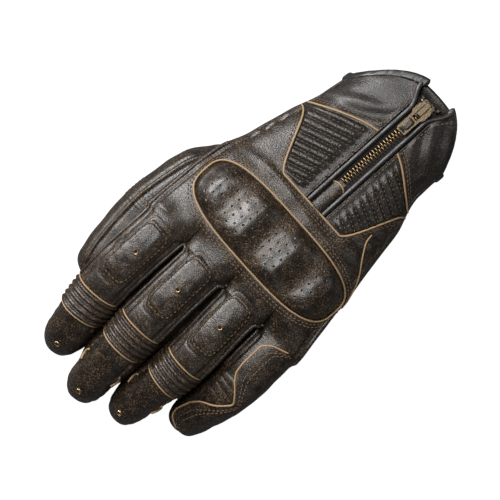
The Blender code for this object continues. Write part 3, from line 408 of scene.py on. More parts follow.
def plain(name, colour, rough, metal=0.0, mottle=0.0):
    """A plain material; mottle lets fine noise vary its colour by that share and roughen it as bump."""
    made = bpy.data.materials.new(name)
    made.use_nodes = True
    tree = made.node_tree
    shader = tree.nodes["Principled BSDF"]
    shader.inputs["Roughness"].default_value = rough
    shader.inputs["Metallic"].default_value = metal
    shader.inputs["Base Color"].default_value = (*colour, 1)
    if mottle:
        place = tree.nodes.new("ShaderNodeTexCoord").outputs["Object"]
        fleck = wire(tree, "ShaderNodeTexNoise", {"Vector": place, "Scale": 1100.0}).outputs["Fac"]
        low, high = ([min(1, v * f) for v in colour] for f in (1 - mottle, 1 + mottle))
        tone = wire(tree, "ShaderNodeMix", {"A": (*low, 1), "B": (*high, 1), "Factor": fleck},
                    data_type="RGBA")
        bumps = wire(tree, "ShaderNodeBump", {"Strength": 0.4, "Distance": 0.0002, "Height": fleck})
        tree.links.new(tone.outputs["Result"], shader.inputs["Base Color"])
        tree.links.new(bumps.outputs["Normal"], shader.inputs["Normal"])
    return made


# Dark cloth of the lining and tapes; the same colour also serves as painted shade in the eyelet holes and the
# puller's slot.
cloth_and_hole_shade = plain("cloth_and_hole_shade", (0.016, 0.015, 0.015), 0.92, mottle=0.4)
x = mix(LINING_FROM, LINING_TO, np.linspace(0, 1, 60))[:, None]
gap = LINING_GAP + flare(x)
first, last = angle_at(x, ZIP_Y + gap), angle_at(x, ZIP_Y - gap) - 2 * np.pi
p = hand(x, mix(first, last, np.linspace(0, 1, 140)[None]), -LINING_DEPTH)
piece = shell("lining_cloth", p, cloth_and_hole_shade, hand_core, CLOTH_THICK)
fasten(piece)
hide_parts("hand_lining")

# Thumb: one leather sleeve from its root in the palm to its tip, with a rolled seam along both sides.
# It is set into the palm hide and gathered on the outside of its bend, where it moves.
BROWN = (0.150, 0.094, 0.053)
leather = hide("leather", (0.0070, 0.0062, 0.0054), BROWN, 0.34, 1500.0, 0.27)
THUMB_STATIONS = [-0.0760, -0.0550, -0.0280, -0.0030, 0.0180, 0.0340]
THUMB_BEND, THUMB_BEND_LENGTH = -0.0172, 0.0126
THUMB_SEAM = math.radians(62)
TIP_ROUND = 0.013
GATHERS, GATHER_HEIGHT = 6, 0.0003
THUMB_SWELL = 0.00025
# Rolled seams of the thumb: radius of the sleeve there, height of the bead, depth of its grooves.
THUMB_ROLL = (0.0125, 0.0012, 0.0005)
BEAD_WIDTH, GROOVE_WIDTH, BEAD_TO_GROOVE = 0.0009, 0.0007, 0.0019


class Sleeve:
    """A finger or thumb: middle line + across * half width * cos^(2/p) + up * half thickness * sin^(2/p)."""

    def __init__(self, tip, middle_y, middle_z, width, height, bend, bend_length):
        self.tip, self.middle_y, self.middle_z = tip, middle_y, middle_z
        self.width, self.height = width, height
        self.bend_start, self.bend_end = bend, bend - bend_length

    def axes(self, x):
        """Unit directions at x: ahead along the middle line, level across it, and up square to both."""
        e = 0.0005
        ahead = np.stack([np.full_like(x, -2 * e), self.middle_y(x - e) - self.middle_y(x + e),
                          self.middle_z(x - e) - self.middle_z(x + e)], -1)
        ahead /= np.linalg.norm(ahead, axis=-1, keepdims=True)
        across = np.cross(ahead, [0.0, 0.0, 1.0])
        across /= np.linalg.norm(across, axis=-1, keepdims=True)
        return ahead, across, np.cross(across, ahead)

    def swell(self, x):
        """Share of the full section: an arch that closes the tip over its last stretch."""
        return arch(1 - np.clip((x - self.tip) / TIP_ROUND, 0, 1), 2.3)

    def centre(self, x):
        """Point of the middle line at x."""
        return np.stack([x, self.middle_y(x), self.middle_z(x)], -1)

    def at(self, x, c, s, lift=0.0):
        """Point at x with shares c across and s up, raised by lift."""
        ahead, across, up = self.axes(x)
        cap = self.swell(x)
        return (self.centre(x) + across * (c * (self.width(x) * cap + lift))[..., None]
                + up * (s * (self.height(x) * cap + lift))[..., None])

    def point(self, x, angle, lift=0.0):
        """Point at x and an angle round the section, 0 on the thumb side and a quarter turn on top."""
        x, angle = np.broadcast_arrays(np.asarray(x, float), angle)
        return self.at(x, power(np.cos(angle), 2 / FINGER_P), power(np.sin(angle), 2 / FINGER_P), lift)

    def grid(self, x, columns):
        """Angles once round, the sleeve's points at every x and angle, and their outward normals."""
        angle = np.linspace(0, 2 * np.pi, columns, endpoint=False)[None]
        base = self.point(x, angle)
        n = normals(base)
        n *= np.sign((n * (base - self.centre(x + 0 * angle))).sum(-1, keepdims=True))
        return angle, base, n

    def inside(self, points):
        """Points of the middle line beside the given points."""
        return self.centre(points[:, 0])

    def bends(self, piece, body):
        """Bake a piece's placement into its points; the bend's ends are worked out but not used, and the body
        is not used.
        """
        start, end = (self.centre(np.array(x)) - SHIFT for x in (self.bend_start, self.bend_end))
        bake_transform(piece)


def rolled_seams(angle, places, radius, height, depth):
    """Rolled seams along a sleeve: at each angle a bell-shaped bead with a sewn groove on both sides."""
    roll = 0
    for at in places:
        s = (angle - at) * radius
        roll = roll + bell(s, BEAD_WIDTH) * height - bell(np.abs(s) - BEAD_TO_GROOVE, GROOVE_WIDTH) * depth
    return roll


thumb_half = track(THUMB_STATIONS, [0.0114, 0.0120, 0.0130, 0.0139, 0.0146, 0.0150])


def thumb_wide(x):
    """Half width of the thumb, halved smoothly where its root runs into the palm."""
    return thumb_half(x) * (1 - 0.5 * ease((x - 0.004) / 0.028))


def thumb_tall(x):
    """Half thickness of the thumb."""
    return thumb_wide(x) - 0.0003


THUMB = Sleeve(THUMB_STATIONS[0],
               track(THUMB_STATIONS, [0.0470, 0.0520, 0.0543, 0.0515, 0.0455, 0.0370]),
               track(THUMB_STATIONS, [0.0109, 0.0122, 0.0134, 0.0145, 0.0165, 0.0180]),
               thumb_wide, thumb_tall, THUMB_BEND, THUMB_BEND_LENGTH)
x = mix(THUMB_STATIONS[-1] - 0.002, THUMB.tip, 1 - (1 - np.linspace(0, 1, 260)) ** 1.2)[:, None]
angle, base, n = THUMB.grid(x, 140)
into = (THUMB_BEND - x) / THUMB_BEND_LENGTH
outer = ease((np.cos(angle) + 0.2) / 0.6)
in_bend = ease(into / 0.1) * ease((1 - into) / 0.1)
gather = np.abs(np.sin(np.pi * GATHERS * np.clip(into, 0, 1))) ** 0.8 * outer * in_bend
roll = rolled_seams(angle, (THUMB_SEAM, 2 * np.pi - THUMB_SEAM), *THUMB_ROLL)
reach = ease((x - THUMB.tip) / 0.012)
lift = GATHER_HEIGHT * gather + THUMB_SWELL * noise(base, 0.013) + roll * reach
lift = lift * np.minimum(1, THUMB.swell(x) * 1.6)
p = (base + n * lift[..., None]).reshape(-1, 3)
wear = np.clip(0.06 * gather + 0.25 * np.clip(roll / 0.0008, 0, 1) * reach, 0, 1)
piece = mesh_object("thumb_sleeve", p, out_faces(p, quads(*base.shape[:2], True), THUMB.inside), leather,
                    {"wear": wear})
THUMB.bends(piece, "thumb_body")
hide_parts("thumb_root", "thumb_bend", "thumb_tip")

# Finger sleeves: sides, front, ribbed bend and tip of each finger, one leather skin with ribs across its
# bend.
# Padded ribs are sewn across the back of three bends between tan cords, and a rolled seam runs to the tip.
# Tan crescents end that seam on the two middle fingers.
BEND_HALF = 0.0073
RIBS, RIB_HEIGHT = 5, 0.0019
LITTLE_RIBS, LITTLE_RIB_HEIGHT = 4, 0.0004
FINGER_SEAM_AT = math.radians(24)
SEAM_BEAD = 0.0009
FINGER_ROLL = (0.012, SEAM_BEAD, 0.00035)
FINGER_SWELL = 0.0002
TIP_CREASE, TIP_CREASE_PITCH = 0.00016, 0.0021
LOOP_RADIUS, LOOP_FROM_TIP, LOOP_HALF_LENGTH = 0.00062, 0.0235, 0.0034
CORD_RADIUS, CORD_HEIGHT, CORD_FROM = 0.00042, 0.0007, math.radians(14)
PALM_REACH = 0.0045
SLIT_ROUND = 0.005
tan = plain("tan_edge", (0.40, 0.262, 0.134), 0.62, mottle=0.35)


def finger(name, length, lean, bow, half, tip_half, tip_z, bend):
    """A finger's sleeve, with f the share of its length from web to tip.

    Middle line: y = root + lean f^2 + bow sin^2(pi f), z from root to tip height by f^2.4. The half width
    starts as the finger's share of the hand, rounds in over the slit's end and narrows to the tip; the half
    thickness falls by 12 percent.
    """
    first, last, root_z, tall = ROOTS[name]
    reach = half_w(WEB) * HAND_SEAM
    root_half, root_y = reach * (last - first), mid_y(WEB) + reach * (1 - first - last)

    def along(x):
        return np.clip((WEB - x) / length, 0, 1)

    def middle_y(x):
        return root_y + lean * along(x) ** 2 + bow * np.sin(np.pi * along(x)) ** 2

    def middle_z(x):
        return mix(root_z, tip_z, along(x) ** 2.4)

    def width(x):
        slit = np.sqrt(1 - (1 - np.clip((WEB - x) / SLIT_ROUND, 0, 1)) ** 2)
        return mix(root_half / FINGER_SEAM, mix(half, tip_half, ease((along(x) - 0.35) / 0.6)), slit)

    def height(x):
        return tall * mix(1.0, 0.88, ease((along(x) - 0.4) / 0.6))

    made = Sleeve(WEB - length, middle_y, middle_z, width, height, WEB - bend + BEND_HALF, 2 * BEND_HALF)
    made.first, made.last, made.root_half, made.root_y = first, last, root_half, root_y
    made.root_z, made.tall = root_z, tall
    return made


def tube(name, paths, radius, sides, material, ups=None, taper=False, wear=None):
    """Round cords along paths (n, k, 3) in one mesh: a circle square to the path at each of its points.

    Tapered cords narrow like sqrt(1 - s^4) to both ends; the others are closed at their end points.
    """
    paths = np.asarray(paths, float)
    n, k = paths.shape[:2]
    ahead = np.gradient(paths, axis=1)
    ahead /= np.maximum(np.linalg.norm(ahead, axis=-1, keepdims=True), 1e-12)
    up = np.broadcast_to(np.array([0.0, 0.0, 1.0]) if ups is None else ups, paths.shape)
    side = np.cross(ahead, up)
    side /= np.maximum(np.linalg.norm(side, axis=-1, keepdims=True), 1e-9)
    up = np.cross(side, ahead)
    r = np.full(k, radius)
    if taper:
        r = radius * np.sqrt(np.maximum(1 - np.linspace(-1, 1, k) ** 4, 0.02))
    else:
        r[[0, -1]] = radius * 0.02
    a = np.linspace(0, 2 * np.pi, sides, endpoint=False)
    ring = (paths[:, :, None] + (side[:, :, None] * np.cos(a)[:, None] + up[:, :, None] * np.sin(a)[:, None])
            * r[None, :, None, None])
    faces = np.concatenate([quads(k, sides, True, i * k * sides) for i in range(n)])
    fields = None if wear is None else {"wear": np.full(n * k * sides, wear)}
    return mesh_object(name, ring.reshape(-1, 3), faces, material, fields)


FINGERS = {"index": finger("index", 0.0900, -0.0082, 0.0015, 0.0131, 0.0114, 0.0110, 0.0568),
           "middle": finger("middle", 0.0984, -0.0053, 0.0000, 0.0128, 0.0110, 0.0100, 0.0529),
           "ring": finger("ring", 0.0900, 0.0009, -0.0026, 0.0119, 0.0106, 0.0066, 0.0487),
           "little": finger("little", 0.0690, 0.0041, -0.0020, 0.0121, 0.0102, 0.0022, 0.0332)}
NEIGHBOURS = (("index", "middle"), ("middle", "ring"), ("ring", "little"))


def side_fill(f, other, x):
    """How far a finger's side swells toward its neighbour: a little over half the space left between them."""
    space = np.abs(f.middle_y(x) - other.middle_y(x)) - f.width(x) - other.width(x)
    fill = np.clip(0.56 * space + 0.0007 + 0.0006 * ease((x - f.bend_start) / 0.006), 0, 0.0075)
    return fill * ease((x - max(f.tip, other.tip) - 0.003) / 0.011)


for name, f in FINGERS.items():
    x = mix(WEB + PALM_REACH, f.tip, 1 - (1 - np.linspace(0, 1, 330)) ** 1.25)[:, None]
    angle, base, n = f.grid(x, 150)
    into = (f.bend_start - x) / (f.bend_start - f.bend_end)
    on_top = ease((np.sin(angle) + 0.05) / 0.35)
    in_bend = ease(into / 0.06) * ease((1 - into) / 0.06)
    ribs, height = (LITTLE_RIBS, LITTLE_RIB_HEIGHT) if name == "little" else (RIBS, RIB_HEIGHT)
    rib = np.abs(np.sin(np.pi * ribs * np.clip(into, 0, 1))) ** 0.75 * on_top * in_bend
    past = ease((f.bend_end - x) / 0.004) * ease((x - f.tip - 0.0205) / 0.003)
    roll = rolled_seams(angle, (FINGER_SEAM_AT, np.pi - FINGER_SEAM_AT), *FINGER_ROLL)
    crease = np.sin((x - f.tip) / TIP_CREASE_PITCH * np.pi + 0.8 * noise(base, 0.03, 1))
    crease = crease * noise(base, 0.016, 2)
    lift = (height * rib + roll * past + TIP_CREASE * crease * (1 - in_bend)
            + FINGER_SWELL * noise(base, 0.012) * (1 - 0.7 * in_bend))
    for pair in NEIGHBOURS:
        if name in pair:
            other = FINGERS[pair[1 - pair.index(name)]]
            way = 1.0 if name == pair[1] else -1.0
            facing = bell(np.sin(angle) + 0.30, 0.40) * ease(way * np.cos(angle) / 0.3)
            lift = lift + side_fill(f, other, x) * facing
    front = ease((-np.sin(angle) - 0.2) / 0.4)
    lift = lift - 0.0005 * front * bell(into - 0.5, 0.5) * (0.5 + 0.5 * np.cos(np.pi * 6 * into))
    p = (base + n * (lift * np.minimum(1, f.swell(x) * 1.6))[..., None]).reshape(-1, 3)
    rubbed_tip = ease((0.35 - (x - f.tip) / 0.03) / 0.5) * np.clip(np.sin(angle), 0, 1)
    wear = (0.10 * rib * in_bend + 0.25 * np.clip(roll / SEAM_BEAD, 0, 1) * past
            + 0.10 * rubbed_tip * (0.5 + 0.5 * noise(base, 0.004, 3)))
    piece = mesh_object(name + "_sleeve", p, out_faces(p, quads(*base.shape[:2], True), f.inside), leather,
                        {"wear": np.clip(wear, 0, 1)})
    f.bends(piece, name + "_tip_body")
    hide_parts(name + "_gusset", name + "_bend", name + "_tip")
    for degrees, way in ((24, 1), (156, -1)) if name in ("middle", "ring") else ():
        k = np.linspace(-1, 1, 30)
        bow = np.radians(degrees + way * (14 * k * k - 6))
        path = f.point(f.tip + LOOP_FROM_TIP + LOOP_HALF_LENGTH * k, bow, SEAM_BEAD)
        piece = tube(name + "_seam_loop_%d" % degrees, path[None], LOOP_RADIUS, 8, tan)
        fasten(piece, name + "_tip_body")
    if name != "little":
        a = np.linspace(CORD_FROM, math.pi - CORD_FROM, 60)
        for tag, at, body in (("root", f.bend_start, "hand"), ("tip", f.bend_end, name + "_tip_body")):
            station = np.full(60, at)
            path = f.point(station, a, CORD_HEIGHT)
            piece = tube(name + "_bend_cord_" + tag, path[None], CORD_RADIUS, 10, tan, f.axes(station)[0])
            fasten(piece, body)

# Webs: a small gusset of the palm's soft leather closes the end of each slit between two fingers.
# It is a rounded fold, shown as an ellipsoid low in the slit and sewn to both fingers.
WEB_HALF_SIZES = (0.0060, 0.0042, 0.0040)
turn, tilt = np.meshgrid(np.linspace(0, 2 * np.pi, 32, endpoint=False),
                         np.linspace(-np.pi / 2, np.pi / 2, 17))
for name, other in NEIGHBOURS:
    f, o = FINGERS[name], FINGERS[other]
    middle = np.array([WEB - 0.0010, f.root_y - f.root_half, 0.5 * (f.root_z + o.root_z) - 0.0042])
    ball = np.stack([np.cos(turn) * np.cos(tilt), np.sin(turn) * np.cos(tilt), np.sin(tilt)], -1)
    piece = mesh_object(name + "_web", middle + ball * WEB_HALF_SIZES, quads(*turn.shape, True), soft,
                        {"wear": np.zeros(turn.size)})
    fasten(piece)

# Back hide: the back of the hand with the four finger backs, one grained leather slit between the fingers.
# Its edges are turned in along the slits and the sides, and it ends under the piping of the wrist panels.
# It sinks a little round each finger pad and creases in front of the zip.
BACK_END_ZIP, BACK_END_SIDE = 0.0398, 0.0715
BACK_LIFT = 0.00055
BACK_SWELL = 0.00028
EDGE_BEAD, EDGE_GROOVE, EDGE_DROP = 0.0002, 0.0008, 0.0022
PAD_SINK, PAD_SINK_CORNER = 0.0002, 7
BACK_CREASE_PITCH, WRIST_CREASE, KNUCKLE_CREASE = 0.0052, 0.0004, 0.00012
ZIP_FOLD_X, ZIP_FOLD = 0.0345, 0.0006
# Finger pads: place of the middle along x, half length, half width.
PADS = {"index": (-0.0440, 0.0188, 0.0080), "middle": (-0.0397, 0.0190, 0.0080),
        "ring": (-0.0368, 0.0178, 0.0078)}


def on_back(x, y):
    """Point on the back of the hand above a plan place."""
    return hand(x, angle_at(x, y))


def strip(f, x, t):
    """Back of the glove in a finger's strip, with t 1 at its seam on the thumb side and -1 at the other.

    In front of the web it is the finger's own arch, behind it the hand's arch eased out of the finger root.
    """
    x, t = np.broadcast_arrays(np.asarray(x, float), t)
    side = np.clip(t, -1, 1) * FINGER_SEAM
    on_finger = f.at(np.minimum(x, WEB), side * np.where(np.abs(t) > 1, np.abs(t), 1.0), arch(side, FINGER_P))
    across = HAND_SEAM * (1 - 2 * mix(f.last, f.first, 0.5 + 0.5 * t))
    y = mid_y(x) + half_w(x) * across
    z = seam_z(x) + (top_z(x) - seam_z(x)) * arch(across, BACK_P)
    root = f.root_z + f.tall * arch(side, FINGER_P)
    on_hand = np.stack([x, y, mix(root, z, ease((x - WEB) / (BLEND - WEB)))], -1)
    return np.where((x <= WEB)[..., None], on_finger, on_hand)


def strip_half(f, x):
    """Half width of a finger's strip at x: the finger's own, or its root's behind the web."""
    return np.where(x < WEB, f.width(np.minimum(x, WEB)), f.root_half / FINGER_SEAM)


def lifted(surface, a, b, height):
    """Points raised square to a surface of two values, with the upward normals found by small steps."""
    e = 0.0003
    n = np.cross(surface(a + e, b) - surface(a - e, b), surface(a, b + e) - surface(a, b - e))
    size = np.linalg.norm(n, axis=-1, keepdims=True)
    n = np.where(size > 1e-14, n / np.maximum(size, 1e-14), [0.0, 0.0, 1.0])
    n = n * np.where(n[..., 2:] < 0, -1, 1)
    return surface(a, b) + n * np.asarray(height)[..., None], n


def below(c):
    """Points straight under the given ones, so that faces turn up."""
    return c - [0.0, 0.0, 1.0]


def seam_reach(x, side):
    """Distance in plan from the zip's line to the side seam."""
    return np.abs(mid_y(x) + side * half_w(x) * HAND_SEAM - ZIP_Y)


def back_end(s):
    """Where the back hide ends, by the share s from zip to seam: straight at first, then swept back."""
    return mix(BACK_END_ZIP, BACK_END_SIDE, ease((s - 0.45) / 0.55) ** 0.8)


points, faces, wears = [], [], []
for name, f in FINGERS.items():
    t = np.linspace(-1.045, 1.045, 75)
    end = np.full_like(t, BACK_END_ZIP)
    for _ in range(12):
        y = strip(f, end, t)[..., 1]
        s = np.abs(y - ZIP_Y) / seam_reach(end, np.where(y > ZIP_Y, 1.0, -1.0))
        end = back_end(np.minimum(s, 1)) - 0.0002
    finger_x = mix(f.bend_start + 0.0004, WEB, np.linspace(0, 1, 120))[:, None] + 0 * t[None]
    x = np.concatenate([finger_x, mix(WEB, end[None], np.linspace(0, 1, 150)[1:, None])])
    t = np.broadcast_to(t, x.shape)
    p = strip(f, x, np.clip(t, -1, 1))
    n = normals(strip(f, x, np.clip(t * 0.985, -0.985, 0.985)))
    n = n * np.where(n[..., 2:] < 0, -1, 1)
    n = np.where((x > WEB)[..., None], lifted(on_back, x, p[..., 1], 0 * x)[1], n)
    half = strip_half(f, x)
    lift = np.full_like(x, BACK_LIFT)
    if name in PADS:
        pad_x, half_length, half_width = PADS[name]
        u, v = (x - pad_x) / half_length, np.clip(t, -1, 1) * FINGER_SEAM * half / half_width
        r = (np.abs(u) ** PAD_SINK_CORNER + np.abs(v) ** PAD_SINK_CORNER) ** (1 / PAD_SINK_CORNER)
        lift = lift - PAD_SINK * bell(r - 1.05, 0.035)
    slit = ease((WEB - x) / 0.004)
    turned_in = np.where(t > 0, 1.0 if name == "index" else slit, 1.0 if name == "little" else slit)
    from_edge = (1.0 - np.abs(t)) * half
    bead, groove = bell(from_edge - 0.0009, 0.0010), bell(from_edge - 0.0028, 0.0007)
    drop = ease((np.abs(t) - 0.985) / 0.06)
    lift = lift + turned_in * (EDGE_BEAD * bead - EDGE_GROOVE * groove) - turned_in * EDGE_DROP * drop
    crease = np.sin(x / BACK_CREASE_PITCH * np.pi + 2.2 * noise(p, 0.045, 1)) * ease(noise(p, 0.03, 2) + 0.3)
    knuckle_slope = ease((x + 0.020) / 0.012) * ease((0.002 - x) / 0.01)
    near_wrist = ease((x - 0.028) / 0.010)
    lift = (lift + BACK_SWELL * noise(p, 0.016) + WRIST_CREASE * crease * near_wrist
            + KNUCKLE_CREASE * crease * knuckle_slope)
    fold = (bell(x - ZIP_FOLD_X - 0.002 * np.sin(p[..., 1] / 0.012), 0.0024)
            * ease((0.055 - np.abs(p[..., 1] + 0.003)) / 0.03))
    lift = lift + ZIP_FOLD * fold
    faces.append(quads(*x.shape, False, sum(len(q) for q in points)))
    points.append((p + n * lift[..., None]).reshape(-1, 3))
    wears.append(np.clip(turned_in * 0.15 * bead + 0.06 * fold, 0, 1).ravel())
points = np.concatenate(points)
piece = mesh_object("back_hide", points, out_faces(points, np.concatenate(faces), below), leather,
                    {"wear": np.concatenate(wears)})
fasten(piece)
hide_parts("back_panel")

# Finger pads: a crowned leather pad over thin padding on the backs of three fingers.
# Each is sewn down with a row of tan thread in a groove just inside its edge.
# Height = rim + a steep edge + crown (1 - r^2) - groove, with r the share of the way out.
PAD_CORNER = 6
PAD_GRID = (130, 70)
PAD_RIM, PAD_EDGE, PAD_CROWN, PAD_GROOVE = 0.0002, 0.0015, 0.0010, 0.0004
PAD_STITCH_AT = 0.86
STITCH_RADIUS = 0.00024
# Stitches of the pads: pitch, length and height of the arch.
PAD_STITCH = (0.0026, 0.0018, 0.00015)
thread = plain("thread", (0.190, 0.120, 0.064), 0.75, mottle=0.3)


def oblong_line(turn, corner):
    """Outline of a rounded oblong of half sizes 1: the ray at each angle stretched to the superellipse."""
    c, s = np.cos(turn), np.sin(turn)
    k = (np.abs(c) ** corner + np.abs(s) ** corner) ** (-1 / corner)
    return c * k, s * k


def dashes(path, ups, pitch, length, lift):
    """Stitches along a path: short arched pieces, as (count, 6, 3), with their up directions."""
    path, ups = np.asarray(path), np.asarray(ups)
    d = np.concatenate([[0], np.cumsum(np.linalg.norm(np.diff(path, axis=0), axis=1))])
    starts = np.arange(pitch * 0.5, d[-1] - length, pitch)
    s = starts[:, None] + np.linspace(0, length, 6)[None]
    p = np.stack([np.interp(s, d, path[:, i]) for i in range(3)], -1)
    u = np.stack([np.interp(s, d, ups[:, i]) for i in range(3)], -1)
    u /= np.linalg.norm(u, axis=-1, keepdims=True)
    return p + u * (lift * np.sin(np.linspace(0.25, np.pi - 0.25, 6)))[None, :, None], u


def stitches(name, rows, radius=STITCH_RADIUS):
    """All rows of stitches of one piece as one object of tapered thread on the hand."""
    paths, ups = (np.concatenate(part) for part in zip(*rows))
    made = tube(name, paths, radius, 6, thread, ups, True)
    fasten(made)


rows = []
for name, (pad_x, half_length, half_width) in PADS.items():
    f = FINGERS[name]
    back = partial(strip, f)
    u, v, r = oblong(*PAD_GRID, PAD_CORNER)
    x = pad_x + half_length * u
    height = (PAD_RIM + PAD_EDGE * ease((1 - r) / 0.15) + PAD_CROWN * (1 - r ** 2)
              - PAD_GROOVE * bell(r - PAD_STITCH_AT, 0.035))
    p, n = lifted(back, x, half_width * v / (FINGER_SEAM * strip_half(f, x)), height)
    p = (p + n * (0.00012 * noise(p, 0.010) + 0.00010 * noise(p, 0.005, 1))[..., None]).reshape(-1, 3)
    piece = mesh_object(name + "_pad_hide", p, out_faces(p, quads(*PAD_GRID), below), leather,
                        {"wear": 0.12 * bell(r - 0.94, 0.04)})
    fasten(piece)
    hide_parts(name + "_pad")
    u, v = oblong_line(np.linspace(0, 2 * np.pi, 200), PAD_CORNER)
    x = pad_x + PAD_STITCH_AT * half_length * u
    t = PAD_STITCH_AT * half_width * v / (FINGER_SEAM * strip_half(f, x))
    path, ups = lifted(back, x, t, np.full(200, 0.0017))
    rows.append(dashes(path, ups, *PAD_STITCH))
stitches("pad_stitches", rows)

# Rolled seams: the back hide's edge turned over a thin cord, of the same leather.
# One runs down both sides of each slit and round its end, and one along each side of the hand.
ROLL_RADIUS = 0.0011
SLIT_ROLL_HEIGHT, SIDE_ROLL_HEIGHT = 0.0010, 0.0009
for name, other in NEIGHBOURS:
    f, o = FINGERS[name], FINGERS[other]
    s = np.linspace(0, 1, 90)
    height = np.full(90, SLIT_ROLL_HEIGHT)
    there_x, back_x = mix(f.bend_start + 0.0006, WEB, s), mix(WEB, o.bend_start + 0.0006, s)
    there, there_up = lifted(partial(strip, f), there_x, np.full(90, -0.95), height)
    back, back_up = lifted(partial(strip, o), back_x, np.full(90, 0.95), height)
    s = np.linspace(0, 1, 16)[1:-1]
    turn, turn_up = lifted(on_back, WEB + 0.0016 * np.sin(np.pi * s), mix(there[-1, 1], back[0, 1], s),
                           np.full(14, SLIT_ROLL_HEIGHT))
    piece = tube(name + "_slit_roll", np.concatenate([there, turn, back])[None], ROLL_RADIUS, 12, leather,
                 np.concatenate([there_up, turn_up, back_up]))
    fasten(piece)
for name, edge, last_x in (("index", 0.962, 0.030), ("little", -0.962, 0.012)):
    f = FINGERS[name]
    path, ups = lifted(partial(strip, f), np.linspace(f.bend_start + 0.0006, last_x, 140), np.full(140, edge),
                       np.full(140, SIDE_ROLL_HEIGHT))
    piece = tube(name + "_side_roll", path[None], ROLL_RADIUS, 12, leather, ups)
    fasten(piece)

# Eyelets: small brass rings pressed through three finger pads and three fingertips.
# They keep their solids, smoothed, and a dark dish behind each is painted shade inside its hole.
HOLE_RADII = np.array([0.0012, 0.0006, 0.00002])
HOLE_DEPTHS = np.array([0.0003, 0.0005, 0.0006])
eyelet_brass = plain("eyelet_brass", (0.62, 0.44, 0.24), 0.40, 1.0, mottle=0.2)
for name in PADS:
    for tag, body in (("pad", "hand"), ("tip", name + "_tip_body")):
        node = frame["nodes"][name + "_" + tag + "_eyelet"]
        node.data.materials.clear()
        node.data.materials.append(eyelet_brass)
        smooth = node.modifiers.new("Round", "SUBSURF")
        smooth.levels = smooth.render_levels = 2
        low, high = (np.array(v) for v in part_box(name + "_" + tag + "_eyelet"))
        middle = (low + high) / 2 + SHIFT
        out = np.array([0.0, 0.0, 1.0])
        if tag == "tip":
            ends = FINGERS[name].point(middle[0] + np.array([-0.001, 0.001]), np.full(2, np.pi / 2))
            run = ends[1] - ends[0]
            out = np.array([-run[2], 0, run[0]]) / math.hypot(run[0], run[2])
            out = out * np.sign(out[2])
        across = np.cross(out, [0, 1.0, 0])
        across /= np.linalg.norm(across)
        a = np.linspace(0, 2 * np.pi, 24, endpoint=False)[:, None]
        circle = np.cos(a) * across + np.sin(a) * np.cross(out, across)
        # The dish is painted shade: a dark sheet down in the hole where only shade is.
        shade_dish = middle - out * HOLE_DEPTHS[:, None, None] + HOLE_RADII[:, None, None] * circle
        piece = mesh_object(name + "_" + tag + "_hole", shade_dish, quads(3, 24, True), cloth_and_hole_shade)
        fasten(piece, body)

# Patch on the outside of the little finger: a second layer of leather with a notch at the bend.
# Its cut edge shows tan, and two rows of stitches sew it on.
PATCH_LIFT, PATCH_THICK = 0.0019, 0.0011
PATCH_FAR_EDGE = math.radians(212)
PATCH_FRONT = WEB - 0.0006
PATCH_STITCH = (0.0024, 0.0017, 0.0003)
# The near edge, as places along x and angles round the finger.
PATCH_X = np.array([-0.0212, -0.0240, -0.0285, -0.0400, -0.0455, -0.0505, -0.0567, -0.0625, -0.0680, -0.0725,
                    -0.0800, -0.0835, -0.0855])
PATCH_ANGLE = np.radians([120, 92, 72, 70, 74, 92, 122, 100, 76, 66, 62, 70, 105])
f = FINGERS["little"]
x = mix(PATCH_X[0], PATCH_X[-1], np.linspace(0, 1, 260))
rounding = np.hanning(15) / np.hanning(15).sum()
start = np.convolve(np.pad(np.interp(-x, -PATCH_X, PATCH_ANGLE), 7, mode="edge"), rounding, "valid")[:, None]
share = np.linspace(0, 1, 90)[None]
on_finger = np.minimum(x, PATCH_FRONT)[:, None]
p = f.point(on_finger, mix(start, PATCH_FAR_EDGE, share), PATCH_LIFT)
p[..., 0] += x[:, None] - on_finger
p = p + normals(p) * (0.00015 * noise(p, 0.010))[..., None]
from_edge = share * (PATCH_FAR_EDGE - start) * 0.011
wear = 0.35 * bell(from_edge, 0.0008) + 0.12 * bell(from_edge - 0.0022, 0.0005)
piece = shell("little_patch_hide", p, leather, f.inside, PATCH_THICK, {"wear": wear})
f.bends(piece, "little_tip_body")
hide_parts("little_patch", "little_tip_patch")
n = normals(p) * np.sign(normals(p)[130, 10, 2])
rows = [dashes(p[:, column], n[:, column], *PATCH_STITCH) for column in (12, 18)]
paths = np.concatenate([d for d, u in rows])
for piece in (tube("little_patch_edge", p[None, :, 0], 0.0005, 8, tan),
              tube("little_patch_stitches", paths, STITCH_RADIUS, 6, thread, taper=True)):
    f.bends(piece, "little_tip_body")

# Knuckle guard: moulded leather over a foam pad, with four ridges across the knuckles and punched holes.
# A tan piping is sewn round it, with two rows of stitches in the back hide outside the piping.
# Height = rim + steep edge + dome (1 - r^3.2) + cosine ridges; the holes are pits on a staggered grid,
# coloured near black as painted shade inside them.
GUARD_X, GUARD_Y = 0.0106, -0.0032
GUARD_HALF_LENGTH, GUARD_HALF_WIDTH = 0.0174, 0.0495
GUARD_CORNER = 3.2
GUARD_GRID = (150, 420)
RIDGE_PLACES, RIDGE_REACH = (0.0360, 0.0106, -0.0160, -0.0410), 0.0127
GUARD_RIM, GUARD_EDGE, GUARD_DOME, RIDGE_HEIGHT = 0.0007, 0.0016, 0.0030, 0.0034
HOLE_PITCH_X, HOLE_PITCH_Y = 0.0050, 0.0037
HOLE_RADIUS, HOLE_DEPTH = 0.00028, 0.0004
HOLES_WITHIN = 0.86
GUARD_STITCH, GUARD_STITCH_HEIGHT = (0.0024, 0.0017, 0.00018), 0.00085
GUARD_STITCH_ROWS = (0.0029, 0.0046)
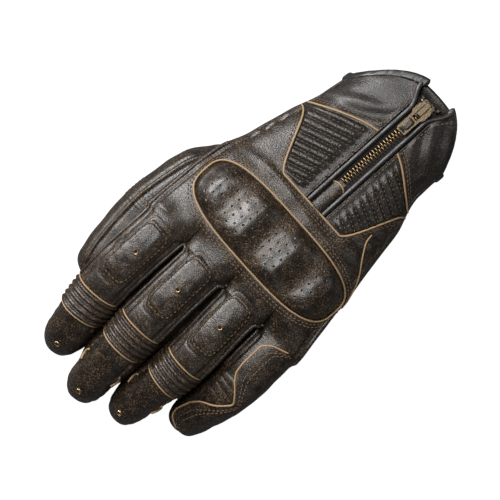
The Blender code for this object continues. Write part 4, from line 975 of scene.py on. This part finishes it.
# Painted shade: near-black colour laid into the punched holes, standing in for the shade inside them.
PAINTED_HOLE_SHADE = (0.002, 0.002, 0.002)
guard_hide = hide("guard_leather", (0.0075, 0.0066, 0.0057), BROWN, 0.32, 1600.0, 0.15, hole=PAINTED_HOLE_SHADE)
u, v, r = oblong(*GUARD_GRID, GUARD_CORNER)
x, y = GUARD_X + GUARD_HALF_LENGTH * u, GUARD_Y + GUARD_HALF_WIDTH * v
dome = 1 - r ** 3.2
ridge = sum(0.5 + 0.5 * np.cos(np.pi * np.clip(np.abs(y - at) / RIDGE_REACH, 0, 1)) for at in RIDGE_PLACES)
height = (GUARD_RIM + GUARD_EDGE * ease((1 - r) / 0.06) + GUARD_DOME * dome
          + RIDGE_HEIGHT * ridge * ease(1.25 * dome))
row = np.round((y - GUARD_Y) / HOLE_PITCH_Y)
along = (x - GUARD_X) / HOLE_PITCH_X + 0.5 * np.mod(row, 2)
to_hole = np.hypot((along - np.round(along)) * HOLE_PITCH_X, y - GUARD_Y - row * HOLE_PITCH_Y)
pit = np.clip(1 - ease((to_hole - HOLE_RADIUS) / HOLE_RADIUS), 0, 1) * (r < HOLES_WITHIN)
p, n = lifted(on_back, x, y, height)
# Foam evens out the finger strips under the guard; its rim still follows the hand.
even = sum(on_back(x, y + d)[..., 2] for d in np.linspace(-0.006, 0.006, 13)) / 13 - on_back(x, y)[..., 2]
p[..., 2] += even * ease((1 - r) / 0.3)
n = normals(p)
n = n * np.where(n[..., 2:] < 0, -1, 1)
p = p + n * (0.0001 * noise(p, 0.006) - HOLE_DEPTH * pit)[..., None]
hole_ring = np.clip((to_hole < 0.00095) * (r < HOLES_WITHIN) - pit, 0, 1)
wear = 0.30 * hole_ring * (0.5 + 0.5 * noise(p, 0.008, 2)) + 0.16 * ease(1 - 1.6 * ridge) * (r < 0.95)
p = p.reshape(-1, 3)
# The hole attribute carries the pits to the material, which paints them near black as shade.
piece = mesh_object("knuckle_guard_hide", p, out_faces(p, quads(*GUARD_GRID), below), guard_hide,
                    {"wear": np.clip(wear, 0, 1), "hole": pit})
fasten(piece)
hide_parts("knuckle_guard", "knuckle_foam")


def guard_line(out, up):
    """Line a distance outside the guard's outline and above the back, held inside the hand's edges."""
    u, v = oblong_line(np.linspace(-0.03, 2 * np.pi + 0.03, 260) - 0.5 * np.pi, GUARD_CORNER)
    x, y = GUARD_X + (GUARD_HALF_LENGTH + out) * u, GUARD_Y + (GUARD_HALF_WIDTH + 0.6 * out) * v
    return lifted(on_back, x, np.clip(y, little_edge(x) * 0.975, thumb_edge(x) * 0.975), np.full(260, up))


path, ups = guard_line(0.0007, 0.0013)
piece = tube("guard_piping", path[None], 0.00050, 10, tan, ups)
fasten(piece)
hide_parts("knuckle_piping")
rows = [dashes(*guard_line(out, GUARD_STITCH_HEIGHT), *GUARD_STITCH) for out in GUARD_STITCH_ROWS]
stitches("guard_stitches", rows)

# Heel panel edge: the tan cut edge of a leather overlay beside the guard, on the little-finger side.
# It curves from the side seam to the quilted panel and is shown as a thin cord on the hide.
EDGE_FROM, EDGE_TO = 0.0148, 0.0530
edge_y = track([EDGE_FROM, 0.0239, 0.0318, 0.0424, 0.0490, EDGE_TO],
               [-0.0545, -0.0525, -0.0490, -0.0412, -0.0372, -0.0366])
x = np.linspace(EDGE_FROM, EDGE_TO, 90)
path, ups = lifted(on_back, x, np.maximum(edge_y(x), little_edge(x) * 0.985), np.full(90, 0.0009))
piece = tube("heel_panel_edge", path[None], 0.00045, 8, tan, ups)
fasten(piece)

# Quilted wrist panels: leather sewn over padding in slanting channels, on both sides of the zip.
# A row of tan stitches lies in each valley, and small holes are punched along the ridges, coloured near black
# as painted shade inside them.
# Ridge height = |sin(pi phase)|^0.7, with the phase counted along x and slanted by the distance from the zip.
SIDES = ((1.0, "thumb_side"), (-1.0, "little_side"))
QUILT_END_ZIP, QUILT_END_SIDE = 0.0925, 0.0745
CHANNEL_PITCH, CHANNEL_SLANT = 0.0047, 0.40
QUILT_BASE, QUILT_RISE = 0.0003, 0.0013
QUILT_HOLE_PITCH, QUILT_HOLE_RADIUS, QUILT_HOLE_DEPTH = 0.0040, 0.00026, 0.0003
QUILT_STITCH, QUILT_STITCH_RADIUS = (0.0026, 0.0010, 0.00020), 0.00023
PANEL_EDGE = 0.0076
quilt_hide = hide("quilt_leather", (0.0090, 0.0082, 0.0073), (0.080, 0.056, 0.038), 0.37, 1500.0, 0.20,
                  hole=PAINTED_HOLE_SHADE)


def quilt_end(s):
    """Where the quilted panels end, by the share s from zip to seam: swept forward toward the seam."""
    return mix(QUILT_END_ZIP, QUILT_END_SIDE, np.clip(s, 0, 1) ** 1.8)


def panel_edge(x):
    """Distance from the zip's line to the edge of the wrist panels, which turn out with the zip."""
    return PANEL_EDGE + 1.3 * flare(x)


def wrist(a, b, side, start, end):
    """Plan place on one side of the zip: a from zip to seam, b from the start line to the end line.

    Both lines depend on the share from zip to seam, which depends on x, so x is found by repeating.
    """
    x = mix(start(a), end(a), b)
    for _ in range(8):
        s = mix(panel_edge(x) / seam_reach(x, side), 1.0, a)
        x = mix(start(s), end(s), b)
    return x, ZIP_Y + side * seam_reach(x, side) * s


def wrist_skin(a, b, side, start, end, height):
    """Points above the back at the wrist's own places, with their normals."""
    x, y = wrist(a, b, side, start, end)
    return lifted(on_back, x, y, height)


for side, tag in SIDES:
    a, b = np.meshgrid(np.linspace(0, 1, 190), np.linspace(0, 1, 260), indexing="ij")
    x, y = wrist(a, b, side, back_end, quilt_end)
    d = np.abs(y - ZIP_Y)
    share = d / seam_reach(x, side)
    room = quilt_end(share) - back_end(share)
    phase = (x + CHANNEL_SLANT * d) / CHANNEL_PITCH
    field = (ease((d - panel_edge(x) - 0.0030) / 0.005) * ease((1 - a) / 0.08)
             * ease((b * room - 0.001) / 0.002) * ease(((1 - b) * room - 0.001) / 0.002))
    ridge = np.abs(np.sin(np.pi * phase)) ** 0.7
    along = d / QUILT_HOLE_PITCH + 0.5 * np.mod(np.floor(phase), 2)
    to_hole = np.hypot((along - np.round(along)) * QUILT_HOLE_PITCH, (phase - np.floor(phase) - 0.5) * 0.0043)
    clear = (b * room > 0.002) & ((1 - b) * room > 0.002)
    pit = np.clip(1 - ease((to_hole - QUILT_HOLE_RADIUS) / 0.0003), 0, 1) * clear
    p, n = wrist_skin(a, b, side, back_end, quilt_end, QUILT_BASE + QUILT_RISE * ridge * field)
    p = p + n * (0.00012 * noise(p, 0.008) - QUILT_HOLE_DEPTH * pit)[..., None]
    wear = (0.08 * ridge ** 4 * field * (0.5 + 0.5 * noise(p, 0.006, 2))
            + 0.3 * np.clip((to_hole < 0.0008) - pit, 0, 1))
    # The hole attribute paints the punched holes near black as shade.
    piece = shell("quilted_hide_" + tag, p, quilt_hide, hand_core,
                  fields={"wear": np.clip(wear, 0, 1), "hole": pit})
    fasten(piece)
    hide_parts("quilted_panel_" + tag)
    rows = []
    d = np.linspace(0.0115, 0.040, 140)
    for valley in range(8, 26):
        x = valley * CHANNEL_PITCH - CHANNEL_SLANT * d
        share = d / seam_reach(x, side)
        keep = (x > back_end(share) + 0.0015) & (x < quilt_end(share) - 0.0015) & (share < 0.97)
        if keep.sum() > 8:
            path, ups = lifted(on_back, x[keep], ZIP_Y + side * d[keep], np.full(keep.sum(), 0.00060))
            rows.append(dashes(path, ups, *QUILT_STITCH))
    stitches("quilt_stitches_" + tag, rows, QUILT_STITCH_RADIUS)

# Cuff hides: plain soft leather between the quilted panels and the hem, one piece on each side of the zip.
# They are sewn under the tan piping and pulled into slanting folds.
FOLD_PITCH, FOLD_HEIGHT = 0.0058, 0.0008


def hem_x(s):
    """Line of the cuff's edge, by the share from zip to seam: longest at the zip, cut back to the sides."""
    return HEM_SIDE_X + 0.0280 * (1 - np.clip(s, 0, 1) ** 2.4)


def cuff_end(s):
    """Where the cuff hides end, inside the hem."""
    return hem_x(s) - 0.0030


for side, tag in SIDES:
    a, b = np.meshgrid(np.linspace(0, 1, 150), np.linspace(0, 1, 120), indexing="ij")
    toward_zip = 0.05 * (1 - a) * ease((b - 0.5) / 0.4)
    p, n = wrist_skin(a - toward_zip, b, side, quilt_end, cuff_end, 0.0003 + 0 * a)
    slanted = p[..., 0] * 0.75 + side * p[..., 1] * 0.66
    fold = np.sin(slanted / FOLD_PITCH * np.pi + 1.6 * noise(p, 0.04, 1))
    fold = fold * ease(noise(p, 0.03, 3) + 0.55) * ease(b / 0.15) * ease((1 - b) / 0.1) * ease(a / 0.1)
    p = p + n * (FOLD_HEIGHT * fold + 0.0002 * noise(p, 0.015))[..., None]
    piece = shell("cuff_hide_" + tag, p, soft, hand_core,
                  fields={"wear": np.clip(0.14 * fold, 0, 1) + 0.22 * bell(b, 0.03)})
    fasten(piece)
    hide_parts("cuff_panel_" + tag)

# Wrist pipings: tan leather cords sewn into both seams of the quilted panels.
# Two rows of stitches run beside each, in the back hide and in the cuff.
WRIST_PIPING_RADIUS, PIPING_HEIGHT = 0.00054, 0.0010
EDGE_STITCH, EDGE_STITCH_RADIUS = (0.0025, 0.0017, 0.00015), 0.00022
EDGE_STITCH_ROWS = (0.0026, 0.0042)
for side, tag in SIDES:
    for key, line, first, way in (("wrist_piping_", back_end, -0.27, -1),
                                  ("cuff_piping_", quilt_end, 0.0, 1)):
        s = np.linspace(first, 0.995, 160)
        path, ups = wrist_skin(s, np.zeros(160), side, line, line, np.full(160, PIPING_HEIGHT))
        piece = tube(key + "cord_" + tag, path[None], WRIST_PIPING_RADIUS, 10, tan, ups)
        fasten(piece)
        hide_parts(key + tag)
        rows = []
        for distance in EDGE_STITCH_ROWS:
            beside = lambda share: line(share) + way * distance
            path, ups = wrist_skin(s, np.zeros(160), side, beside, beside, np.full(160, 0.0008))
            rows.append(dashes(path, ups, *EDGE_STITCH))
        stitches(key + "stitches_" + tag, rows, EDGE_STITCH_RADIUS)

# Hem: a strip of smooth black leather folded over the cuff's edge and sewn through, open at the zip.
# Its section is a flat rounded bar, carried from the zip along one side, under the wrist and back.
HEM_HALF_WIDTH, HEM_HALF_THICK = 0.0029, 0.0014
HEM_GRID = (480, 40)
black_hide = hide("black_hide", (0.0105, 0.0100, 0.0094), (0.040, 0.033, 0.026), 0.34, 1700.0, 0.10)
u = np.linspace(0, 1, HEM_GRID[0])
side = np.where(u < 0.5, 1.0, -1.0)[:, None]
quarter = np.minimum(u, 1 - u)[:, None] / 0.25
section = np.linspace(0, 2 * np.pi, HEM_GRID[1], endpoint=False)
section_x = HEM_HALF_WIDTH * power(np.cos(section), 0.55)
section_lift = HEM_HALF_THICK * power(np.sin(section), 0.75)
x, y = wrist(mix(-0.20, 1.0, np.minimum(quarter, 1.0)) + 0 * section_x, 1.0, side, hem_x,
             lambda share: hem_x(share) - HEM_HALF_WIDTH + section_x[None])
under = mix(SEAM, -0.5 * np.pi, np.maximum(quarter - 1, 0.0))
angle = np.where(quarter < 1, angle_at(x, y), np.where(side > 0, under, np.pi - under))
waver = 0.00012 * noise(np.stack([u, u * 0, u * 0], -1), 0.02)[:, None]
p = hand(x, angle, -0.0006 + section_lift[None] + waver)
core = p.mean(1, keepdims=True)
from_end = np.minimum(np.arange(HEM_GRID[0]), np.arange(HEM_GRID[0])[::-1])
shut = np.sqrt(np.clip(from_end / 6.0, 0.0004, 1))
p = (core + (p - core) * shut[:, None, None]).reshape(-1, 3)
faces = quads(*HEM_GRID, True)
face_core = np.repeat(core[:, 0], HEM_GRID[1], 0)[faces].mean(1)
wear = 0.25 * (0.5 + 0.5 * noise(core[:, 0], 0.01))[:, None] * np.clip(np.cos(section), 0, 1)
piece = mesh_object("hem_strip", p, out_faces(p, faces, lambda c: face_core), black_hide, {"wear": wear})
fasten(piece)
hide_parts("hem_binding")

# Zip underlay: a tongue of soft leather behind the zip, which keeps the skin from the teeth.
# It is sewn in under the tapes, and widens and rises at the cuff.
UNDERLAY_FROM, UNDERLAY_TO = 0.036, 0.1275
UNDERLAY_HALF_WIDTH, UNDERLAY_SPREAD = 0.0100, 0.0075
UNDERLAY_DEPTH, UNDERLAY_RISE = 0.0065, 0.0030
UNDERLAY_THICK = 0.0007
across = np.linspace(-1, 1, 30)[None]
x = mix(UNDERLAY_FROM, UNDERLAY_TO - 0.0015 * across ** 2, np.linspace(0, 1, 60)[:, None])
y = ZIP_Y + across * (UNDERLAY_HALF_WIDTH + UNDERLAY_SPREAD * ease((x - 0.110) / 0.010))
p = hand(x, angle_at(x, y), -UNDERLAY_DEPTH + UNDERLAY_RISE * ease((x - 0.118) / 0.008))
piece = shell("zip_underlay_hide", p, soft, hand_core, UNDERLAY_THICK)
fasten(piece)
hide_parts("zip_underlay")

# Zip tapes and teeth: two woven tapes sewn under the panel edges, each with a row of pressed brass teeth.
# Each tooth is a rounded block, wider at its head, and the two rows are half a pitch apart.
HIDE_TOP = 0.0520
CHAIN_Z = HIDE_TOP - 0.0017
TAPE_WIDTH, TAPE_GAP, TAPE_DEPTH = 0.0078, 0.0012, 0.0017
TAPE_FROM, TAPE_TO = 0.0560, 0.1200
TOOTH_NECK, TOOTH_HEAD, TOOTH_HALF_LENGTH = 0.00043, 0.00068, 0.00160
TOOTH_FROM_ZIP, TOOTH_HALF_HEIGHT = 0.0011, 0.00112
TEETH, TOOTH_PITCH, FIRST_TOOTH = 31, 0.00196, 0.0605 + 0.00031
TOOTH_GRID = (9, 14)
brass = plain("brass", (0.27, 0.186, 0.100), 0.36, 1.0, mottle=0.25)
turn, tilt = np.meshgrid(np.linspace(0, 2 * np.pi, TOOTH_GRID[1], endpoint=False),
                         np.linspace(-np.pi / 2, np.pi / 2, TOOTH_GRID[0]))
for side, tag in SIDES:
    x = mix(TAPE_FROM, TAPE_TO, np.linspace(0, 1, 120))[:, None]
    y = ZIP_Y + side * (TAPE_GAP + flare(x) + TAPE_WIDTH * np.linspace(0, 1, 24)[None])
    piece = shell("tape_" + tag, hand(x, angle_at(x, y), -TAPE_DEPTH), cloth_and_hole_shade, hand_core, CLOTH_THICK)
    fasten(piece)
    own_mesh(piece)
    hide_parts("zip_tape_" + tag)
    places = FIRST_TOOTH + (0.0 if side > 0 else 0.5 * TOOTH_PITCH) + np.arange(TEETH) * TOOTH_PITCH
    wide = mix(TOOTH_NECK, TOOTH_HEAD, ease(0.5 + 0.5 * np.sin(tilt)))
    tooth = np.stack([power(np.cos(turn), 0.45) * power(np.cos(tilt), 0.45) * wide,
                      side * (power(np.sin(tilt), 0.45) * TOOTH_HALF_LENGTH + TOOTH_FROM_ZIP),
                      power(np.sin(turn), 0.5) * power(np.cos(tilt), 0.45)
                      * (TOOTH_HALF_HEIGHT - 0.0002 * np.sin(tilt))], -1)
    middles = np.stack([places, ZIP_Y + side * flare(places), np.full(TEETH, CHAIN_Z)], -1)
    faces = np.concatenate([quads(*TOOTH_GRID, True, i * turn.size) for i in range(TEETH)])
    # The order of corners turns the faces of both rows outward.
    faces = faces[:, [0, 3, 2, 1] if side > 0 else [1, 2, 3, 0]]
    piece = mesh_object("teeth_" + tag, tooth[None] + middles[:, None, None], faces, brass)
    fasten(piece)
    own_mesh(piece)
    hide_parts("zip_teeth_" + tag)

# Welts: the panels' edges rolled in smooth black leather along both sides of the zip.
# Each is a round bead with a row of stitches just outside it.
WELT_RADIUS, WELT_INSET, WELT_END = 0.00142, 0.0020, 0.1262
x = mix(BACK_END_ZIP + 0.0002, WELT_END, np.linspace(0, 1, 200))
for side, tag in SIDES:
    height = -0.0003 + 0.00010 * np.sin(x / 0.0019)
    path, ups = lifted(on_back, x, ZIP_Y + side * (panel_edge(x) - WELT_INSET), height)
    piece = tube("welt_" + tag, path[None], WELT_RADIUS, 14, black_hide, ups, wear=0.10)
    fasten(piece)
    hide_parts("zip_welt_" + tag)
    path, ups = lifted(on_back, x, ZIP_Y + side * (panel_edge(x) + 0.0013), np.full(200, 0.0012))
    stitches("welt_stitches_" + tag, [dashes(path, ups, *EDGE_STITCH)], EDGE_STITCH_RADIUS)

# End tab: a small domed piece of leather over the lower end of the zip, with a tan cut edge.
# It is caught under the wrist piping at one end and rounded at the other.
TAB_FROM, TAB_TO, TAB_NOSE = 0.0405, 0.0558, 0.0022
TAB_HALF_WIDTH, TAB_DOME, TAB_THICK = 0.0041, 0.0022, 0.0010
a, b = np.meshgrid(np.linspace(-1, 1, 60), np.linspace(0, 1, 60), indexing="ij")
x = mix(TAB_FROM, TAB_TO + TAB_NOSE * arch(0.98 * a, 2.0), b)
wrinkle = 0.0001 * noise(np.stack([x, a * 0.004, b * 0], -1), 0.006)
z = HIDE_TOP - TAB_DOME + TAB_DOME * arch(0.98 * a, 2.2) + wrinkle
p = np.stack([x, ZIP_Y + TAB_HALF_WIDTH * a, z], -1)
piece = shell("zip_end_tab_hide", p, leather, below, TAB_THICK, {"wear": 0.3 * ease((b - 0.9) / 0.1)})
fasten(piece)
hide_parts("zip_end_tab")
piece = tube("zip_end_tab_edge", p[None, :, -1], 0.0005, 8, tan)
fasten(piece)

# Slider, puller and stops: cast metal, the stops and the slider's body dark and the puller antique brass.
# They keep their solids with rounded edges; the slider's bridge, its highest part, is brass too.
BRIDGE_HEIGHT = 0.0016
EDGE_ROUND = 0.00016
antique = plain("antique_brass", (0.150, 0.113, 0.072), 0.40, 1.0, mottle=0.25)
dark_metal = plain("dark_metal", (0.070, 0.060, 0.050), 0.36, 1.0, mottle=0.2)
for name, metal in (("zip_slider", dark_metal), ("zip_pull", antique), ("zip_bottom_stop", dark_metal),
                    ("zip_top_stop_thumb_side", dark_metal), ("zip_top_stop_little_side", dark_metal)):
    node = frame["nodes"][name]
    node.data.materials.clear()
    node.data.materials.append(metal)
    if name == "zip_slider":
        node.data.materials.append(antique)
        heights = np.array([face.center[2] for face in node.data.polygons])
        on_bridge = heights > heights.max() - BRIDGE_HEIGHT
        node.data.polygons.foreach_set("material_index", on_bridge.astype(np.int32))
    rounded = node.modifiers.new("Round", "BEVEL")
    rounded.width = EDGE_ROUND
    rounded.segments = 2
    rounded.limit_method = "ANGLE"

# Puller face: a dark plate, and a black oblong painted as shade in the puller's slot, set into the puller's
# brass edge.
# Each is a thin rounded oblong, pressed flat on the puller and moving with it.
FACE_Z = 0.05368
FACE_RINGS = np.array([1.0, 0.96, 0.5, 0.001])[:, None]
FACE_RISE = np.array([0.0, 0.00008, 0.00008, 0.00008])[:, None]
turn = np.linspace(0, 2 * np.pi, 48, endpoint=False)[None]
# The slot's oblong takes the dark cloth colour as painted shade in the opening.
for label, first, last, half, finish in (("plate", 0.1022, 0.1088, 0.0022, dark_metal),
                                         ("slot", 0.1004, 0.1017, 0.0020, cloth_and_hole_shade)):
    x = 0.5 * (first + last) + 0.5 * (last - first) * FACE_RINGS * power(np.cos(turn), 0.35)
    y = ZIP_Y + half * FACE_RINGS * power(np.sin(turn), 0.35)
    z = FACE_Z + FACE_RISE + 0 * turn
    piece = mesh_object("pull_" + label, np.stack([x, y, z], -1), quads(4, 48, True), finish)
    fasten(piece, "pull_body")

# Stage: a white floor, soft light from the photograph's upper left, and a long lens straight above.
# The floor glows only to the camera, so that it lights the glove no more than grey paper would.
TURNED = math.radians(-42)
LENS_MM, CAMERA_HEIGHT = 213.0, 1.60
paper = plain("paper", (0.14, 0.14, 0.14), 0.9)
seen = paper.node_tree.nodes.new("ShaderNodeLightPath")
shader = paper.node_tree.nodes["Principled BSDF"]
shader.inputs["Emission Color"].default_value = (1, 1, 1, 1)
paper.node_tree.links.new(seen.outputs["Is Camera Ray"], shader.inputs["Emission Strength"])
floor = bpy.data.objects.new("floor", bpy.data.meshes.new("floor"))
floor.data.from_pydata([(-3, -3, 0), (3, -3, 0), (3, 3, 0), (-3, 3, 0)], [], [(0, 1, 2, 3)])
floor.data.materials.append(paper)
floor.location.z = -0.0002
bpy.context.scene.collection.objects.link(floor)
world = bpy.data.worlds.new("studio")
bpy.context.scene.world = world
world.use_nodes = True
world.node_tree.nodes["Background"].inputs["Color"].default_value = (1, 1, 1, 1)
world.node_tree.nodes["Background"].inputs["Strength"].default_value = 0.03


def lamp(name, right, up, high, size, watts):
    """A soft square light, placed by the photograph's right and up and aimed at the glove."""
    x = right * math.cos(TURNED) - up * math.sin(TURNED)
    y = right * math.sin(TURNED) + up * math.cos(TURNED)
    light = bpy.data.lights.new(name, "AREA")
    light.size = size
    light.energy = watts
    made = bpy.data.objects.new(name, light)
    made.location = (x, y, high)
    made.rotation_euler = Vector((-x, -y, 0.03 - high)).to_track_quat("-Z", "Y").to_euler()
    bpy.context.scene.collection.objects.link(made)


lamp("key", -0.58, 0.62, 0.56, 0.34, 10.2)
lamp("top", -0.16, 0.26, 1.10, 0.36, 7.4)
lamp("fill", 0.8, -0.1, 0.5, 0.4, 0.6)
lamp("rim", 0.1, -0.8, 0.5, 0.4, 0.4)
camera = bpy.data.objects.new("camera", bpy.data.cameras.new("camera"))
camera.data.lens = LENS_MM
camera.location = (-SHIFT[0], -SHIFT[1], CAMERA_HEIGHT)
camera.rotation_euler = (0, 0, TURNED)
bpy.context.scene.collection.objects.link(camera)
bpy.context.scene.camera = camera
bpy.context.scene.view_settings.view_transform = "Standard"
